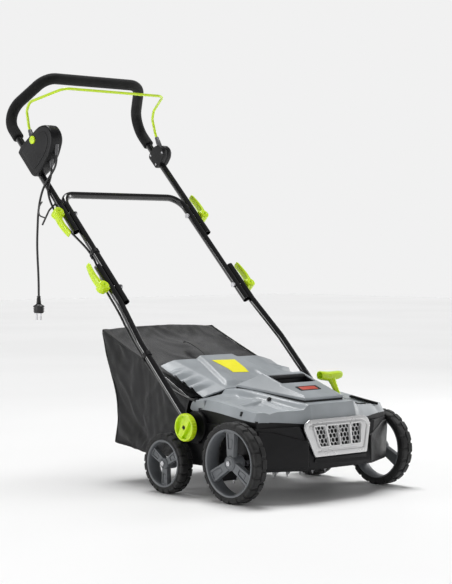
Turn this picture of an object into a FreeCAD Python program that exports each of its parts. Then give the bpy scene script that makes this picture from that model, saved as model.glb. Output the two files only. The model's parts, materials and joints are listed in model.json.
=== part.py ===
import FreeCAD, Part
import math
import os
import re
import Sketcher

# Electric lawn scarifier (dethatcher) with a grass bag and a three-part folding handle.
# Millimetres.  +X is the operator's left, the machine's front faces -Y, +Z is up.
# Every sub-part is drawn about the front wheel axle: local y = 0 lies above that axle and
# local z = 0 is the ground.  front_axle_y then moves the whole machine so that the origin
# is at the centre of its footprint.  The handle parts are drawn in the handle's own plane:
# x is lateral, y runs up the tubes from the pivot and z stands off the plane, forward-up.

V = FreeCAD.Vector
doc = FreeCAD.newDocument("LawnDethatcher")

DIMENSIONS = [
    ("front_axle_y", -439, "front axle's place behind the footprint's centre"),
    ("wheel_base", 248, "front axle to rear axle"),
    ("front_wheel_rad", 100, "front tyre"),
    ("rear_wheel_rad", 77, "rear tyre"),
    ("wheel_mid", 263, "middle of every tyre, from the centre plane"),
    ("tyre_wide", 40, "tyre width"),
    ("tyre_depth", 18, "tyre section from rim to tread"),
    ("tread_deep", 3, "depth of the tread grooves"),
    ("rim_deep", 10, "rim ring section"),
    ("rim_web", 8, "thickness of the spoke web"),
    ("spoke_half", 12, "half width of one spoke"),
    ("axle_rad", 6, "wheel axles"),
    ("run_gap", 0.05, "radial clearance of running fits"),
    ("crank_arm", 22, "throw of the front axle's cranks"),
    ("crank_rad", 7, "front axle's cross shaft"),
    ("lever_x", 140, "stem of the depth lever"),
    ("lever_back", 74, "the lever's bar, behind the stem's foot"),
    ("lever_up", 128, "the lever's bar, above the stem's foot"),
    ("lever_rod", 4.5, "stem of the depth lever"),
    ("lever_grip", 11, "bar of the depth lever"),
    ("lever_wide", 72, "bar of the depth lever"),
    ("deck_half", 235, "half width of the lower housing"),
    ("deck_low", 77, "underside of the lower housing"),
    ("deck_top", 185, "split line between lower housing and cover"),
    ("deck_wall", 4, "housing wall"),
    ("nose_half", 105, "half width of the flat nose"),
    ("nose_y", -108, "lowest point of the nose"),
    ("nose_top_y", -90, "nose at the split line"),
    ("cheek_y", -44, "front of the housing's sides"),
    ("deck_rear_y", 212, "rear end of the lower housing"),
    ("chamber_half", 190, "half width of the blade chamber"),
    ("chamber_top", 130, "ceiling of the blade chamber"),
    ("roller_y", 95, "blade roller axis"),
    ("roller_z", 80, "blade roller axis"),
    ("blade_rad", 48, "blade tip circle"),
    ("blade_thick", 2.5, "blade sheet"),
    ("blade_count", 16, "blades on the roller"),
    ("shaft_rad", 8, "roller shaft"),
    ("motor_y", 60, "motor axis"),
    ("motor_z", 190, "motor axis"),
    ("motor_rad", 38, "motor can"),
    ("pulley_x", -212, "belt plane"),
    ("motor_teeth", 14, "motor pulley; its radius in mm too"),
    ("roller_teeth", 26, "roller pulley; its radius in mm too"),
    ("belt_wide", 12, "toothed belt"),
    ("belt_thick", 2.5, "toothed belt"),
    ("cover_wall", 3, "cover, lid and flap walls"),
    ("cover_front", 242, "cover height above the grille"),
    ("cover_rear", 264, "cover height at its rear edge"),
    ("cover_rear_y", 182, "rear edge of the cover"),
    ("shoulder_z", 226, "side edge of the cover's top"),
    ("lid_rise", 302, "ridge of the motor lid"),
    ("lid_ridge_y", 100, "ridge of the motor lid"),
    ("flap_hinge_y", 191, "rear flap's hinge"),
    ("flap_hinge_z", 257, "rear flap's hinge"),
    ("flap_half", 205, "half width of the rear flap"),
    ("flap_rear_y", 354, "rear edge of the flap"),
    ("flap_rear_z", 330, "crown of the flap's rear edge"),
    ("bag_half", 200, "half width of the grass bag"),
    ("bag_wall", 3, "bag fabric, with its folds"),
    ("handle_y", 167, "handle pivot"),
    ("handle_z", 175, "handle pivot"),
    ("handle_lean", 45, "handle angle above the ground"),
    ("tube_rad", 10, "handle tubes"),
    ("tube_wall", 1, "handle tubes"),
    ("low_tube_x", 256, "lower tubes at the pivot"),
    ("out_tube_x", 240.5, "outer tubes beside the middle loop"),
    ("leg_x", 219, "legs of the middle loop"),
    ("splay_low", 290, "lower tubes start to bend inward"),
    ("splay_high", 430, "lower tubes run straight again"),
    ("low_tube_end", 568, "upper ends of the lower tubes"),
    ("leg_end", 432, "lower ends of the middle loop"),
    ("low_bolt", 490, "lower cam bolts, up the handle"),
    ("high_bolt", 772, "upper cam bolts, up the handle"),
    ("cross_bar", 848, "middle loop's cross tube"),
    ("loop_bend", 46, "bend radius of the middle loop"),
    ("high_tube_end", 700, "lower ends of the upper handle"),
    ("grip_start", 1083, "ends of the foam grip"),
    ("grip_turn", 1178, "where the upper handle turns forward"),
    ("grip_rise", 150, "top bar's offset from the handle plane"),
    ("top_half", 172, "half width of the top bar at its corners"),
    ("grip_rad", 16, "foam grip"),
    ("knob_rad", 35, "handle knob"),
    ("knob_thick", 16, "handle knob"),
    ("stud_rad", 4, "pivot studs and cam bolts"),
    ("boss_rad", 39, "handle bosses on the housing"),
    ("cam_rad", 15, "heads of the cam levers"),
    ("cam_high", 26, "heads of the cam levers"),
    ("cam_gap", 0.8, "clearance of the cam levers"),
    ("finger_long", 88, "fingers of the cam levers"),
    ("finger_wide", 20, "fingers of the cam levers"),
    ("finger_thick", 7, "fingers of the cam levers"),
    ("box_out", 262, "outer face of the switch box"),
    ("box_in", 222, "inner face of the switch box"),
    ("bail_s", 1015, "bail pivot, up the handle"),
    ("bail_n", 32, "bail pivot, off the handle plane"),
    ("bail_rad", 4, "bail rod"),
    ("bail_x", 234, "bail arms"),
    ("cord_rad", 3.2, "mains cord"),
    ("lead_rad", 3.1, "motor lead"),
    ("clip_high", 622, "cable clip on the middle loop"),
    ("clip_low", 245, "cable clip on the lower tube"),
    ("lead_drop", 17, "motor lead's centre below the tubes' plane"),
]
ALIASES = {alias for alias, _, _ in DIMENSIONS}
sheet = doc.addObject("Spreadsheet::Sheet", "Dims")
for row, (alias, amount, note) in enumerate(DIMENSIONS, 1):
    sheet.set(f"A{row}", alias)
    sheet.set(f"B{row}", str(amount))
    sheet.set(f"C{row}", note)
    sheet.setAlias(f"B{row}", alias)
doc.recompute()

NODES = []


def size(expression):
    """The number that an expression of the sheet's aliases gives now."""
    return float(sheet.evalExpression(str(expression)))


def bind(thing, prop, expression):
    """Bind a property to an expression of the sheet's aliases."""
    text = re.sub(r"[a-z_]\w*", lambda m: "Dims." + m[0] if m[0] in ALIASES else m[0], str(expression))
    thing.setExpression(prop, text)


def put(thing, x=0, y=0, z=0, turn=None):
    """Place a thing by three expressions, in the machine's local frame."""
    thing.Placement = FreeCAD.Placement(V(), turn or FreeCAD.Rotation())
    bind(thing, "Placement.Base.x", x)
    bind(thing, "Placement.Base.y", f"front_axle_y + {y}")
    bind(thing, "Placement.Base.z", z)
    return thing


def put_on_handle(thing):
    """Lay a thing's own frame in the handle's plane, with its origin at the pivot."""
    put(thing, 0, "handle_y", "handle_z", FreeCAD.Rotation(V(1, 0, 0), size("handle_lean")))
    bind(thing, "Placement.Rotation.Angle", "handle_lean")
    return thing


def node(thing, name):
    """Make a thing one of the sub-parts that are written out."""
    thing.Label = name
    NODES.append(thing)
    return thing


# ---- PartDesign helpers -------------------------------------------------------------

def new_body(name):
    body = doc.addObject("PartDesign::Body", name)
    return node(body, name)


def origin(body, role):
    return next(f for f in body.Origin.OriginFeatures if f.Role == role)


def new_sketch(body, plane, offset=0):
    sketch = body.newObject("Sketcher::SketchObject", body.Name + "_sketch")
    sketch.AttachmentSupport = [(origin(body, plane), "")]
    sketch.MapMode = "FlatFace"
    bind(sketch, "AttachmentOffset.Base.z", offset)
    return sketch


def outline(sketch, points):
    """A closed polygon whose corners are bound to expressions."""
    first = sketch.GeometryCount
    spots = [V(size(x), size(y), 0) for x, y in points]
    count = len(spots)
    for i in range(count):
        sketch.addGeometry(Part.LineSegment(spots[i], spots[(i + 1) % count]))
    for i in range(count):
        following = first + (i + 1) % count
        sketch.addConstraint(Sketcher.Constraint("Coincident", first + i, 2, following, 1))
    for i, (x, y) in enumerate(points):
        for kind, expression in (("DistanceX", x), ("DistanceY", y)):
            mark = sketch.addConstraint(Sketcher.Constraint(kind, first + i, 1, size(expression)))
            bind(sketch, f"Constraints[{mark}]", expression)
    return sketch


def ring(sketch, radius, x=0, y=0):
    """A circle bound to expressions."""
    loop = sketch.addGeometry(Part.Circle(V(size(x), size(y), 0), V(0, 0, 1), size(radius)))
    mark = sketch.addConstraint(Sketcher.Constraint("Radius", loop, size(radius)))
    bind(sketch, f"Constraints[{mark}]", radius)
    for kind, expression in (("DistanceX", x), ("DistanceY", y)):
        mark = sketch.addConstraint(Sketcher.Constraint(kind, loop, 3, size(expression)))
        bind(sketch, f"Constraints[{mark}]", expression)
    return sketch


def grow(body, kind, sketch, length, both=False, back=False):
    """A Pad or a Pocket; both means symmetric about the sketch."""
    feature = body.newObject("PartDesign::" + kind, body.Name + "_" + kind.lower())
    feature.Profile = sketch
    feature.Midplane = both
    feature.Reversed = back
    bind(feature, "Length", length)
    doc.recompute()
    return feature


def turn_about(body, kind, sketch, axis="X_Axis"):
    """A Revolution or a Groove about one of the body's axes."""
    feature = body.newObject("PartDesign::" + kind, body.Name + "_" + kind.lower())
    feature.Profile = sketch
    feature.ReferenceAxis = (origin(body, axis), [""])
    feature.Angle = 360
    doc.recompute()
    return feature


def repeat_round(body, feature, count, axis="X_Axis"):
    pattern = body.newObject("PartDesign::PolarPattern", body.Name + "_polar")
    pattern.Originals = [feature]
    pattern.Axis = (origin(body, axis), [""])
    pattern.Angle = 360
    pattern.Occurrences = count
    body.Tip = pattern
    doc.recompute()
    return pattern


def round_off(body, radius, wanted):
    """A Fillet on the edges of the body's tip that wanted(edge) picks."""
    tip = body.Tip
    names = [f"Edge{i + 1}" for i, edge in enumerate(tip.Shape.Edges) if wanted(edge)]
    fillet = body.newObject("PartDesign::Fillet", body.Name + "_fillet")
    fillet.Base = (tip, names)
    fillet.Radius = radius
    doc.recompute()
    return fillet


def along(direction):
    """Picks straight edges that run along a direction."""
    def wanted(edge):
        if not isinstance(edge.Curve, Part.Line):
            return False
        return abs(abs(edge.Curve.Direction.dot(direction)) - 1) < 1e-6
    return wanted


# ---- Part helpers -------------------------------------------------------------------

def cylinder(name, radius, length, x, y, z, axis="x"):
    """A Part::Cylinder whose middle is at x, y, z; the axis is x, y or z."""
    turns = {"x": (V(0, 1, 0), 90), "y": (V(1, 0, 0), -90), "z": (V(0, 0, 1), 0)}
    rod = doc.addObject("Part::Cylinder", name)
    bind(rod, "Radius", radius)
    bind(rod, "Height", length)
    spot = {"x": x, "y": y, "z": z}
    spot[axis] = f"{spot[axis]} - ({length}) / 2"
    return put(rod, spot["x"], spot["y"], spot["z"], FreeCAD.Rotation(*turns[axis]))


def block(name, wide, deep, high, x, y, z):
    """A Part::Box whose middle is at x, y, z."""
    box = doc.addObject("Part::Box", name)
    bind(box, "Length", wide)
    bind(box, "Width", deep)
    bind(box, "Height", high)
    return put(box, f"{x} - ({wide}) / 2", f"{y} - ({deep}) / 2", f"{z} - ({high}) / 2")


def fuse(name, things):
    union = doc.addObject("Part::MultiFuse", name)
    union.Shapes = things
    return union


def cut(name, base, tool):
    rest = doc.addObject("Part::Cut", name)
    rest.Base = base
    rest.Tool = tool
    return rest


def group(name, things):
    """Separate solids of one node."""
    compound = doc.addObject("Part::Compound", name)
    compound.Links = things
    return compound


def feature(name, shape):
    """A sub-part whose shape is made by Part's own functions, from sizes in the sheet."""
    thing = doc.addObject("Part::Feature", name)
    thing.Shape = shape
    return node(thing, name)


def rounded_path(points, radii):
    """Straight runs joined by tangent arcs; radii has one value per inner point."""
    edges = []
    start = points[0]
    for i, radius in enumerate(radii, 1):
        corner = points[i]
        back = (points[i - 1] - corner).normalize()
        ahead = (points[i + 1] - corner).normalize()
        half_turn = (math.pi - back.getAngle(ahead)) / 2
        reach = radius * math.tan(half_turn)
        enter = corner + back * reach
        leave = corner + ahead * reach
        middle = corner + (back + ahead).normalize() * (radius / math.cos(half_turn) - radius)
        edges.append(Part.LineSegment(start, enter).toShape())
        edges.append(Part.Arc(enter, middle, leave).toShape())
        start = leave
    edges.append(Part.LineSegment(start, points[-1]).toShape())
    return Part.Wire(edges)


def tube_along(path, outer, inner=0.0):
    """A round bar or tube swept along a path of lines and arcs."""
    first = path.Edges[0]
    spot = first.valueAt(first.FirstParameter)
    heading = first.tangentAt(first.FirstParameter)

    def sweep(radius):
        circle = Part.Wire(Part.Circle(spot, heading, radius).toShape())
        return path.makePipeShell([circle], True, False)
    solid = sweep(outer)
    if inner:
        solid = solid.cut(sweep(inner))
    return solid


def cord_radii(points):
    """One arc radius per inner point: 0.45 of the shorter run over the half turn's tangent."""
    radii = []
    for i in range(1, len(points) - 1):
        back = points[i - 1] - points[i]
        ahead = points[i + 1] - points[i]
        half_turn = (math.pi - back.getAngle(ahead)) / 2
        radii.append(0.45 * min(back.Length, ahead.Length) / math.tan(half_turn))
    return radii


def cord(name, points, radius):
    """A cord's plain tube; prints its length, radii and how its volume compares."""
    radii = cord_radii(points)
    path = rounded_path(points, radii)
    solid = tube_along(path, radius)
    ratio = solid.Volume / (math.pi * radius ** 2 * path.Length)
    print(name, "length", round(path.Length, 1), "volume ratio", round(ratio, 4),
          "radii", [round(r) for r in radii])
    return solid


def on_handle(x, up, off):
    """A point of the handle's plane in the machine's local frame."""
    lean = math.radians(size("handle_lean"))
    y = size("handle_y") + up * math.cos(lean) - off * math.sin(lean)
    z = size("handle_z") + up * math.sin(lean) + off * math.cos(lean)
    return V(x, y, z)


# ---- wheels -------------------------------------------------------------------------

def tyre(name, radius, x, y):
    """A tyre with chunky tread blocks, about its own axle."""
    body = new_body(name)
    half = "tyre_wide / 2"
    inner = f"({radius}) - tyre_depth"
    shoulder = f"({radius}) - 6"
    outline(section := new_sketch(body, "XZ_Plane"), [
        (f"-{half}", inner), (half, inner), (half, shoulder), (f"{half} - 5", radius),
        (f"5 - {half}", radius), (f"-{half}", shoulder)])
    turn_about(body, "Revolution", section)
    for side in (-1, 1):
        plane = new_sketch(body, "YZ_Plane", f"{side} * 3")
        outline(plane, [("-4", f"({radius}) - tread_deep"), ("4", f"({radius}) - tread_deep"),
                        ("4", f"({radius}) + 5"), ("-4", f"({radius}) + 5")])
        groove = grow(body, "Pocket", plane, "tyre_wide", back=side > 0)
        repeat_round(body, groove, 20)
    put(body, x, y, radius)
    return body


def rim(name, radius, x, y, outward):
    """A dished rim: ring, web with three windows and a hub with a bore for the axle."""
    body = new_body(name)
    rim_rad = f"({radius}) - tyre_depth"
    half = "(tyre_wide / 2 - 2)"
    face = f"{outward} * 8"
    section = new_sketch(body, "XZ_Plane")
    outline(section, [
        (f"-{half}", f"{rim_rad} - rim_deep"), (f"{face} - rim_web / 2", f"{rim_rad} - rim_deep"),
        (f"{face} - rim_web / 2", "20"), (f"-{half}", "20"), (f"-{half}", "axle_rad + run_gap"),
        (half, "axle_rad + run_gap"), (half, "20"), (f"{face} + rim_web / 2", "20"),
        (f"{face} + rim_web / 2", f"{rim_rad} - rim_deep"), (half, f"{rim_rad} - rim_deep"),
        (half, rim_rad), (f"-{half}", rim_rad)])
    turn_about(body, "Revolution", section)
    window = new_sketch(body, "YZ_Plane")
    low, high = "25", f"({rim_rad} - rim_deep) * 0.62"
    outline(window, [
        (f"-({low} * 1.732 - spoke_half * 2)", low), (f"{low} * 1.732 - spoke_half * 2", low),
        (f"{high} * 1.732 - spoke_half * 2", high), ("18", f"{rim_rad} - rim_deep - 3"),
        ("-18", f"{rim_rad} - rim_deep - 3"), (f"-({high} * 1.732 - spoke_half * 2)", high)])
    opening = grow(body, "Pocket", window, "tyre_wide", both=True)
    repeat_round(body, opening, 3)
    put(body, x, y, radius)
    return body


for side_name, side in (("left", 1), ("right", -1)):
    for end_name, radius, axle_y in (("front", "front_wheel_rad", "0"),
                                     ("rear", "rear_wheel_rad", "wheel_base")):
        tyre(f"{end_name}_tyre_{side_name}", radius, f"{side} * wheel_mid", axle_y)
        rim(f"{end_name}_rim_{side_name}", radius, f"{side} * wheel_mid", axle_y, side)

# ---- axles and depth lever ----------------------------------------------------------

node(cylinder("rear_axle_rod", "axle_rad", "2 * wheel_mid + 2 * 21", "0", "wheel_base",
              "rear_wheel_rad"), "rear_axle")

axle_parts = [cylinder("crank_shaft", "crank_rad", "2 * 241", "0", "-crank_arm", "front_wheel_rad")]
for side in (-1, 1):
    axle_parts.append(cylinder("stub", "axle_rad", "46", f"{side} * 261", "0", "front_wheel_rad"))
    axle_parts.append(block("crank", 4, "crank_arm + 14", 14, f"{side} * 239", "-crank_arm / 2",
                            "front_wheel_rad"))
node(fuse("front_axle_rod", axle_parts), "front_axle")


def make_depth_lever():
    """A T-shaped lever that is keyed to the front axle beside the blade chamber."""
    eye = cylinder("lever_eye", 13, 6, 212, "-crank_arm", "front_wheel_rad")
    rise = block("lever_rise", 6, 12, 60, 212, "-crank_arm + 11", "front_wheel_rad + 33")
    bridge = block("lever_bridge", 78, 12, 6, 176, "-crank_arm + 11", "front_wheel_rad + 62")
    long = "sqrt(lever_back * lever_back + lever_up * lever_up)"
    stem = cylinder("lever_stem", "lever_rod", long, "lever_x", "0", "0", "z")
    bar = cylinder("lever_bar", "lever_grip", "lever_wide", "lever_x", "0", "0")
    lean = math.degrees(math.atan2(size("lever_back"), size("lever_up")))
    put(stem, "lever_x", "-crank_arm + 11", "front_wheel_rad + 60",
        FreeCAD.Rotation(V(1, 0, 0), -lean))
    put(bar, "lever_x - lever_wide / 2", "-crank_arm + 11 + lever_back",
        "front_wheel_rad + 60 + lever_up", FreeCAD.Rotation(V(0, 1, 0), 90))
    bore = cylinder("lever_bore", "crank_rad", 10, 212, "-crank_arm", "front_wheel_rad")
    return cut("lever_solid", fuse("lever_union", [eye, rise, bridge, stem, bar]), bore)


node(make_depth_lever(), "depth_lever")

# ---- lower housing ------------------------------------------------------------------


def make_lower_housing():
    body = new_body("lower_housing")
    side = new_sketch(body, "YZ_Plane")
    outline(side, [
        ("nose_top_y", "deck_top"), ("nose_y", "deck_low + 12"), ("nose_y + 8", "deck_low"),
        ("deck_rear_y - 14", "deck_low"), ("deck_rear_y", "deck_low + 40"),
        ("deck_rear_y", "deck_top")])
    grow(body, "Pad", side, "2 * deck_half", both=True)
    for hand in (-1, 1):
        plan = new_sketch(body, "XY_Plane")
        outline(plan, [
            (f"{hand} * nose_half", "nose_y - 1"), (f"{hand} * (deck_half + 1)", "nose_y - 1"),
            (f"{hand} * (deck_half + 1)", "cheek_y")])
        grow(body, "Pocket", plan, 300, back=True)
    chamber = new_sketch(body, "YZ_Plane")
    outline(chamber, [
        ("nose_y + 12", "deck_low - 1"), ("nose_y + 24", "chamber_top"),
        ("roller_y + 45", "chamber_top"), ("deck_rear_y - 12", "deck_top - deck_wall"),
        ("deck_rear_y + 1", "deck_top - deck_wall"), ("deck_rear_y + 1", "deck_low - 1")])
    grow(body, "Pocket", chamber, "2 * nose_half - 8", both=True)
    wide = new_sketch(body, "YZ_Plane")
    outline(wide, [
        ("cheek_y + 8", "deck_low - 1"), ("cheek_y + 8", "chamber_top"),
        ("roller_y + 45", "chamber_top"), ("deck_rear_y - 12", "deck_top - deck_wall"),
        ("deck_rear_y + 1", "deck_top - deck_wall"), ("deck_rear_y + 1", "deck_low - 1")])
    grow(body, "Pocket", wide, "2 * chamber_half", both=True)
    tub = new_sketch(body, "YZ_Plane")
    outline(tub, [
        ("cheek_y + 6", "deck_top + 1"), ("cheek_y + 6", "chamber_top + deck_wall"),
        ("roller_y + 43", "chamber_top + deck_wall"), ("roller_y + 84", "deck_top - deck_wall - 3"),
        ("roller_y + 84", "deck_top + 1")])
    grow(body, "Pocket", tub, "2 * (deck_half - deck_wall)", both=True)
    nose_room = new_sketch(body, "YZ_Plane")
    outline(nose_room, [
        ("nose_top_y + 5", "deck_top + 1"), ("nose_y + 15", "chamber_top + deck_wall"),
        ("cheek_y + 7", "chamber_top + deck_wall"), ("cheek_y + 7", "deck_top + 1")])
    grow(body, "Pocket", nose_room, "2 * nose_half - 8", both=True)
    window = new_sketch(body, "YZ_Plane")
    outline(window, [
        ("nose_y - 1", "deck_low + 50"), ("nose_y + 16", "deck_low + 50"),
        ("nose_y + 16", "chamber_top + deck_wall"), ("nose_top_y + 10", "chamber_top + deck_wall"),
        ("nose_top_y + 10", "deck_top + 1"), ("nose_y - 1", "deck_top + 1")])
    grow(body, "Pocket", window, "184", both=True)
    for hand in (-1, 1):
        for floor, high in (("deck_low - 1", "chamber_top - deck_low + 1"),
                            ("chamber_top + deck_wall", "deck_top - chamber_top")):
            cheek = new_sketch(body, "XY_Plane", floor)
            outline(cheek, [
                (f"{hand} * (nose_half - 5)", "nose_y + 6"), (f"{hand} * (deck_half - 4)", "cheek_y + 4"),
                (f"{hand} * (deck_half - 4)", "cheek_y + 9"), (f"{hand} * (nose_half - 5)", "cheek_y + 9")])
            grow(body, "Pocket", cheek, high, back=True)
    for hand in (-1, 1):
        sump = new_sketch(body, "YZ_Plane", f"{hand} * (chamber_half + deck_half) / 2")
        outline(sump, [
            ("roller_y - 44", "deck_low + 6"), ("roller_y - 44", "deck_low"),
            ("roller_y - 22", "roller_z - 35"), ("roller_y + 22", "roller_z - 35"),
            ("roller_y + 44", "deck_low"), ("roller_y + 44", "deck_low + 6")])
        grow(body, "Pad", sump, "deck_half - chamber_half", both=True)
        sump_room = new_sketch(body, "YZ_Plane", f"{hand} * (chamber_half + deck_half) / 2")
        outline(sump_room, [
            ("roller_y - 39", "deck_low + 2"), ("roller_y - 20", "roller_z - 32"),
            ("roller_y + 20", "roller_z - 32"), ("roller_y + 39", "deck_low + 2")])
        grow(body, "Pocket", sump_room, "deck_half - chamber_half - 2 * deck_wall", both=True)
        bay = new_sketch(body, "YZ_Plane", f"{hand} * (chamber_half + deck_half) / 2")
        outline(bay, [
            ("cheek_y + 8", "deck_low - 1"), ("cheek_y + 8", "chamber_top + 8"),
            ("deck_rear_y - 36", "chamber_top + 8"), ("deck_rear_y - 36", "deck_low - 1")])
        grow(body, "Pocket", bay, "deck_half - chamber_half - 2 * deck_wall", both=True)
    bores = new_sketch(body, "YZ_Plane")
    ring(bores, "crank_rad + run_gap", "-crank_arm", "front_wheel_rad")
    grow(body, "Pocket", bores, "2 * deck_half + 10", both=True)
    seats = new_sketch(body, "YZ_Plane")
    ring(seats, "2 * shaft_rad", "roller_y", "roller_z")
    grow(body, "Pocket", seats, "2 * (deck_half - deck_wall)", both=True)
    for hand in (-1, 1):
        ear = new_sketch(body, "YZ_Plane", f"{hand} * (deck_half - 13)")
        outline(ear, [
            ("deck_rear_y - 30", "deck_low"), ("wheel_base + 14", "deck_low - 14"),
            ("wheel_base + 14", "deck_low + 14"), ("deck_rear_y", "deck_top - 20"),
            ("deck_rear_y - 30", "deck_top - 20")])
        grow(body, "Pad", ear, "8", both=True)
    axle = new_sketch(body, "YZ_Plane")
    ring(axle, "axle_rad", "wheel_base", "rear_wheel_rad")
    grow(body, "Pocket", axle, "2 * deck_half + 10", both=True)
    put(body)


make_lower_housing()


def make_top_cover():
    """Folded-looking shell: flat nose, sloping top, bevelled sides, open below."""
    body = new_body("top_cover")
    side = new_sketch(body, "YZ_Plane")
    outline(side, [
        ("-80", "deck_top"), ("-77", "cover_front - 5"), ("-48", "cover_front"),
        ("cover_rear_y - 40", "cover_rear + 2"), ("cover_rear_y", "cover_rear - 2"),
        ("cover_rear_y", "deck_top")])
    grow(body, "Pad", side, "2 * deck_half", both=True)
    for hand in (-1, 1):
        plan = new_sketch(body, "XY_Plane")
        outline(plan, [
            (f"{hand} * 100", "-90"), (f"{hand} * (deck_half + 1)", "-90"),
            (f"{hand} * (deck_half + 1)", "cheek_y + 4")])
        grow(body, "Pocket", plan, 400, back=True)
        roof = new_sketch(body, "XZ_Plane")
        outline(roof, [
            (f"{hand} * (deck_half + 1)", "shoulder_z - 8"), (f"{hand} * 222", "shoulder_z + 6"),
            (f"{hand} * 100", "cover_rear + 6"), (f"{hand} * (deck_half + 1)", "cover_rear + 6")])
        grow(body, "Pocket", roof, 900, both=True)
    tip = body.Tip
    shell = body.newObject("PartDesign::Thickness", "top_cover_shell")
    under = max(range(len(tip.Shape.Faces)), key=lambda i: -tip.Shape.Faces[i].CenterOfMass.z)
    shell.Base = (tip, [f"Face{under + 1}"])
    bind(shell, "Value", "cover_wall")
    shell.Reversed = True
    shell.Join = 1
    doc.recompute()
    slot = new_sketch(body, "XY_Plane")
    outline(slot, [
        ("lever_x - 8", "-52"), ("lever_x + 8", "-52"), ("lever_x + 8", "50"), ("lever_x - 8", "50")])
    grow(body, "Pocket", slot, 400, back=True)
    put(body)


make_top_cover()


def make_motor_lid():
    """A hood of flat facets whose ridge is the machine's highest housing edge."""
    rise = size("lid_rise")
    ridge = size("lid_ridge_y")
    rear = size("cover_rear") + 2.9
    front = size("cover_front") + 0.6
    skin = size("cover_wall")

    def hood(inset):
        base = [V(-66 + inset, -46 + inset, front), V(66 - inset, -46 + inset, front),
                V(116 - inset, 146 - inset, rear), V(-116 + inset, 146 - inset, rear)]
        top = [V(-58 + inset, -38 + inset, front + 9 - inset),
               V(58 - inset, -38 + inset, front + 9 - inset),
               V(74 - inset, ridge - inset, rise - inset),
               V(-74 + inset, ridge - inset, rise - inset)]
        wires = [Part.makePolygon(ring_points + ring_points[:1]) for ring_points in (base, top)]
        return Part.makeLoft(wires, True, True)
    shape = hood(0).cut(hood(skin))
    grip_room = Part.makeBox(94, 40, 60, V(-47, ridge - 52, rise - 40))
    lid = feature("motor_lid", shape.cut(grip_room))
    put(lid)


make_motor_lid()


def make_carry_handle():
    """The recessed cup and grip bar in the lid's ridge."""
    body = new_body("carry_handle")
    side = new_sketch(body, "YZ_Plane")
    outline(side, [
        ("lid_ridge_y - 51", "lid_rise - 30"), ("lid_ridge_y - 13", "lid_rise - 30"),
        ("lid_ridge_y - 13", "lid_rise - 9"), ("lid_ridge_y - 16", "lid_rise - 10"),
        ("lid_ridge_y - 16", "lid_rise - 27"), ("lid_ridge_y - 48", "lid_rise - 27"),
        ("lid_ridge_y - 48", "lid_rise - 23"), ("lid_ridge_y - 51", "lid_rise - 24")])
    grow(body, "Pad", side, 93, both=True)
    put(body)


make_carry_handle()


def make_grille():
    """Eight-sided face plate with four windows, leaning back with the nose."""
    body = new_body("front_grille")
    plate = new_sketch(body, "XZ_Plane")
    outline(plate, [
        ("-97", "46"), ("97", "46"), ("112", "38"), ("118", "24"),
        ("92", "-47"), ("-92", "-47"), ("-118", "24"), ("-112", "38")])
    grow(body, "Pad", plate, 6)
    for start, wide, slant in ((-84, 36, 10), (-40, 38, 2), (2, 38, -2), (48, 36, -10)):
        window = new_sketch(body, "XZ_Plane")
        outline(window, [
            (f"{start}", "27"), (f"{start + wide}", "27"),
            (f"{start + wide + slant - 3}", "-22"), (f"{start + slant + 3}", "-22")])
        grow(body, "Pocket", window, 40, both=True)
    lean = math.degrees(math.atan2(size("nose_top_y - nose_y"), size("deck_top - deck_low - 12")))
    place = (0, "(nose_y + nose_top_y) / 2 + 2.4", "deck_low + 78", FreeCAD.Rotation(V(1, 0, 0), -lean))
    put(body, *place)

    mesh = new_body("grille_mesh")
    sheet_plan = new_sketch(mesh, "XZ_Plane")
    outline(sheet_plan, [("-90", "29"), ("90", "29"), ("80", "-25"), ("-80", "-25")])
    grow(mesh, "Pad", sheet_plan, 1.6, back=True)
    put(mesh, *place)


make_grille()

screws = [cylinder("cover_screw", 4, 3, f"{side} * 200", "120", "deck_top - 8.5", "z")
          for side in (-1, 1)]
screws += [cylinder("nose_screw", 4, 3, f"{side} * 150", "-30", "deck_top - 8.5", "z")
           for side in (-1, 1)]
node(group("screw_set", screws), "housing_screws")

# ---- drive --------------------------------------------------------------------------


def make_motor():
    """Stator can with end bells; the rotor turns inside it."""
    can = cylinder("motor_can", "motor_rad", 130, -30, "motor_y", "motor_z")
    foot = block("motor_foot", 90, 60, "motor_z - chamber_top - deck_wall - 20", -30, "motor_y",
                 "(motor_z + chamber_top + deck_wall - 20) / 2")
    hollow = cylinder("motor_hollow", "motor_rad - 10", 114, -30, "motor_y", "motor_z")
    bore = cylinder("motor_bore", "5 + run_gap", 140, -30, "motor_y", "motor_z")
    node(cut("stator_solid", fuse("can_union", [can, foot]), fuse("can_room", [hollow, bore])),
         "motor_stator")
    shaft = cylinder("rotor_shaft", 5, 262, -90, "motor_y", "motor_z")
    core = cylinder("rotor_core", "motor_rad - 12", 96, -30, "motor_y", "motor_z")
    node(fuse("rotor_union", [shaft, core]), "motor_rotor")


make_motor()


def pulley(name, teeth, bore_rad, y, z):
    """A toothed pulley with flanges, pressed on its shaft."""
    body = new_body(name)
    section = new_sketch(body, "XZ_Plane")
    outline(section, [
        ("-8", bore_rad), ("8", bore_rad), ("8", f"{teeth} + 2"), ("6.5", f"{teeth} + 2"),
        ("6.5", f"{teeth} - 0.4"), ("-6.5", f"{teeth} - 0.4"), ("-6.5", f"{teeth} + 2"),
        ("-8", f"{teeth} + 2")])
    turn_about(body, "Revolution", section)
    gap = new_sketch(body, "YZ_Plane")
    outline(gap, [("-0.8", f"{teeth} - 2"), ("0.8", f"{teeth} - 2"), ("0.8", teeth), ("-0.8", teeth)])
    notch = grow(body, "Pocket", gap, 12.8, both=True)
    repeat_round(body, notch, int(size(teeth)))
    put(body, "pulley_x", y, z)


pulley("motor_pulley", "motor_teeth", "5", "motor_y", "motor_z")
pulley("roller_pulley", "roller_teeth", "shaft_rad", "roller_y", "roller_z")


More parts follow.
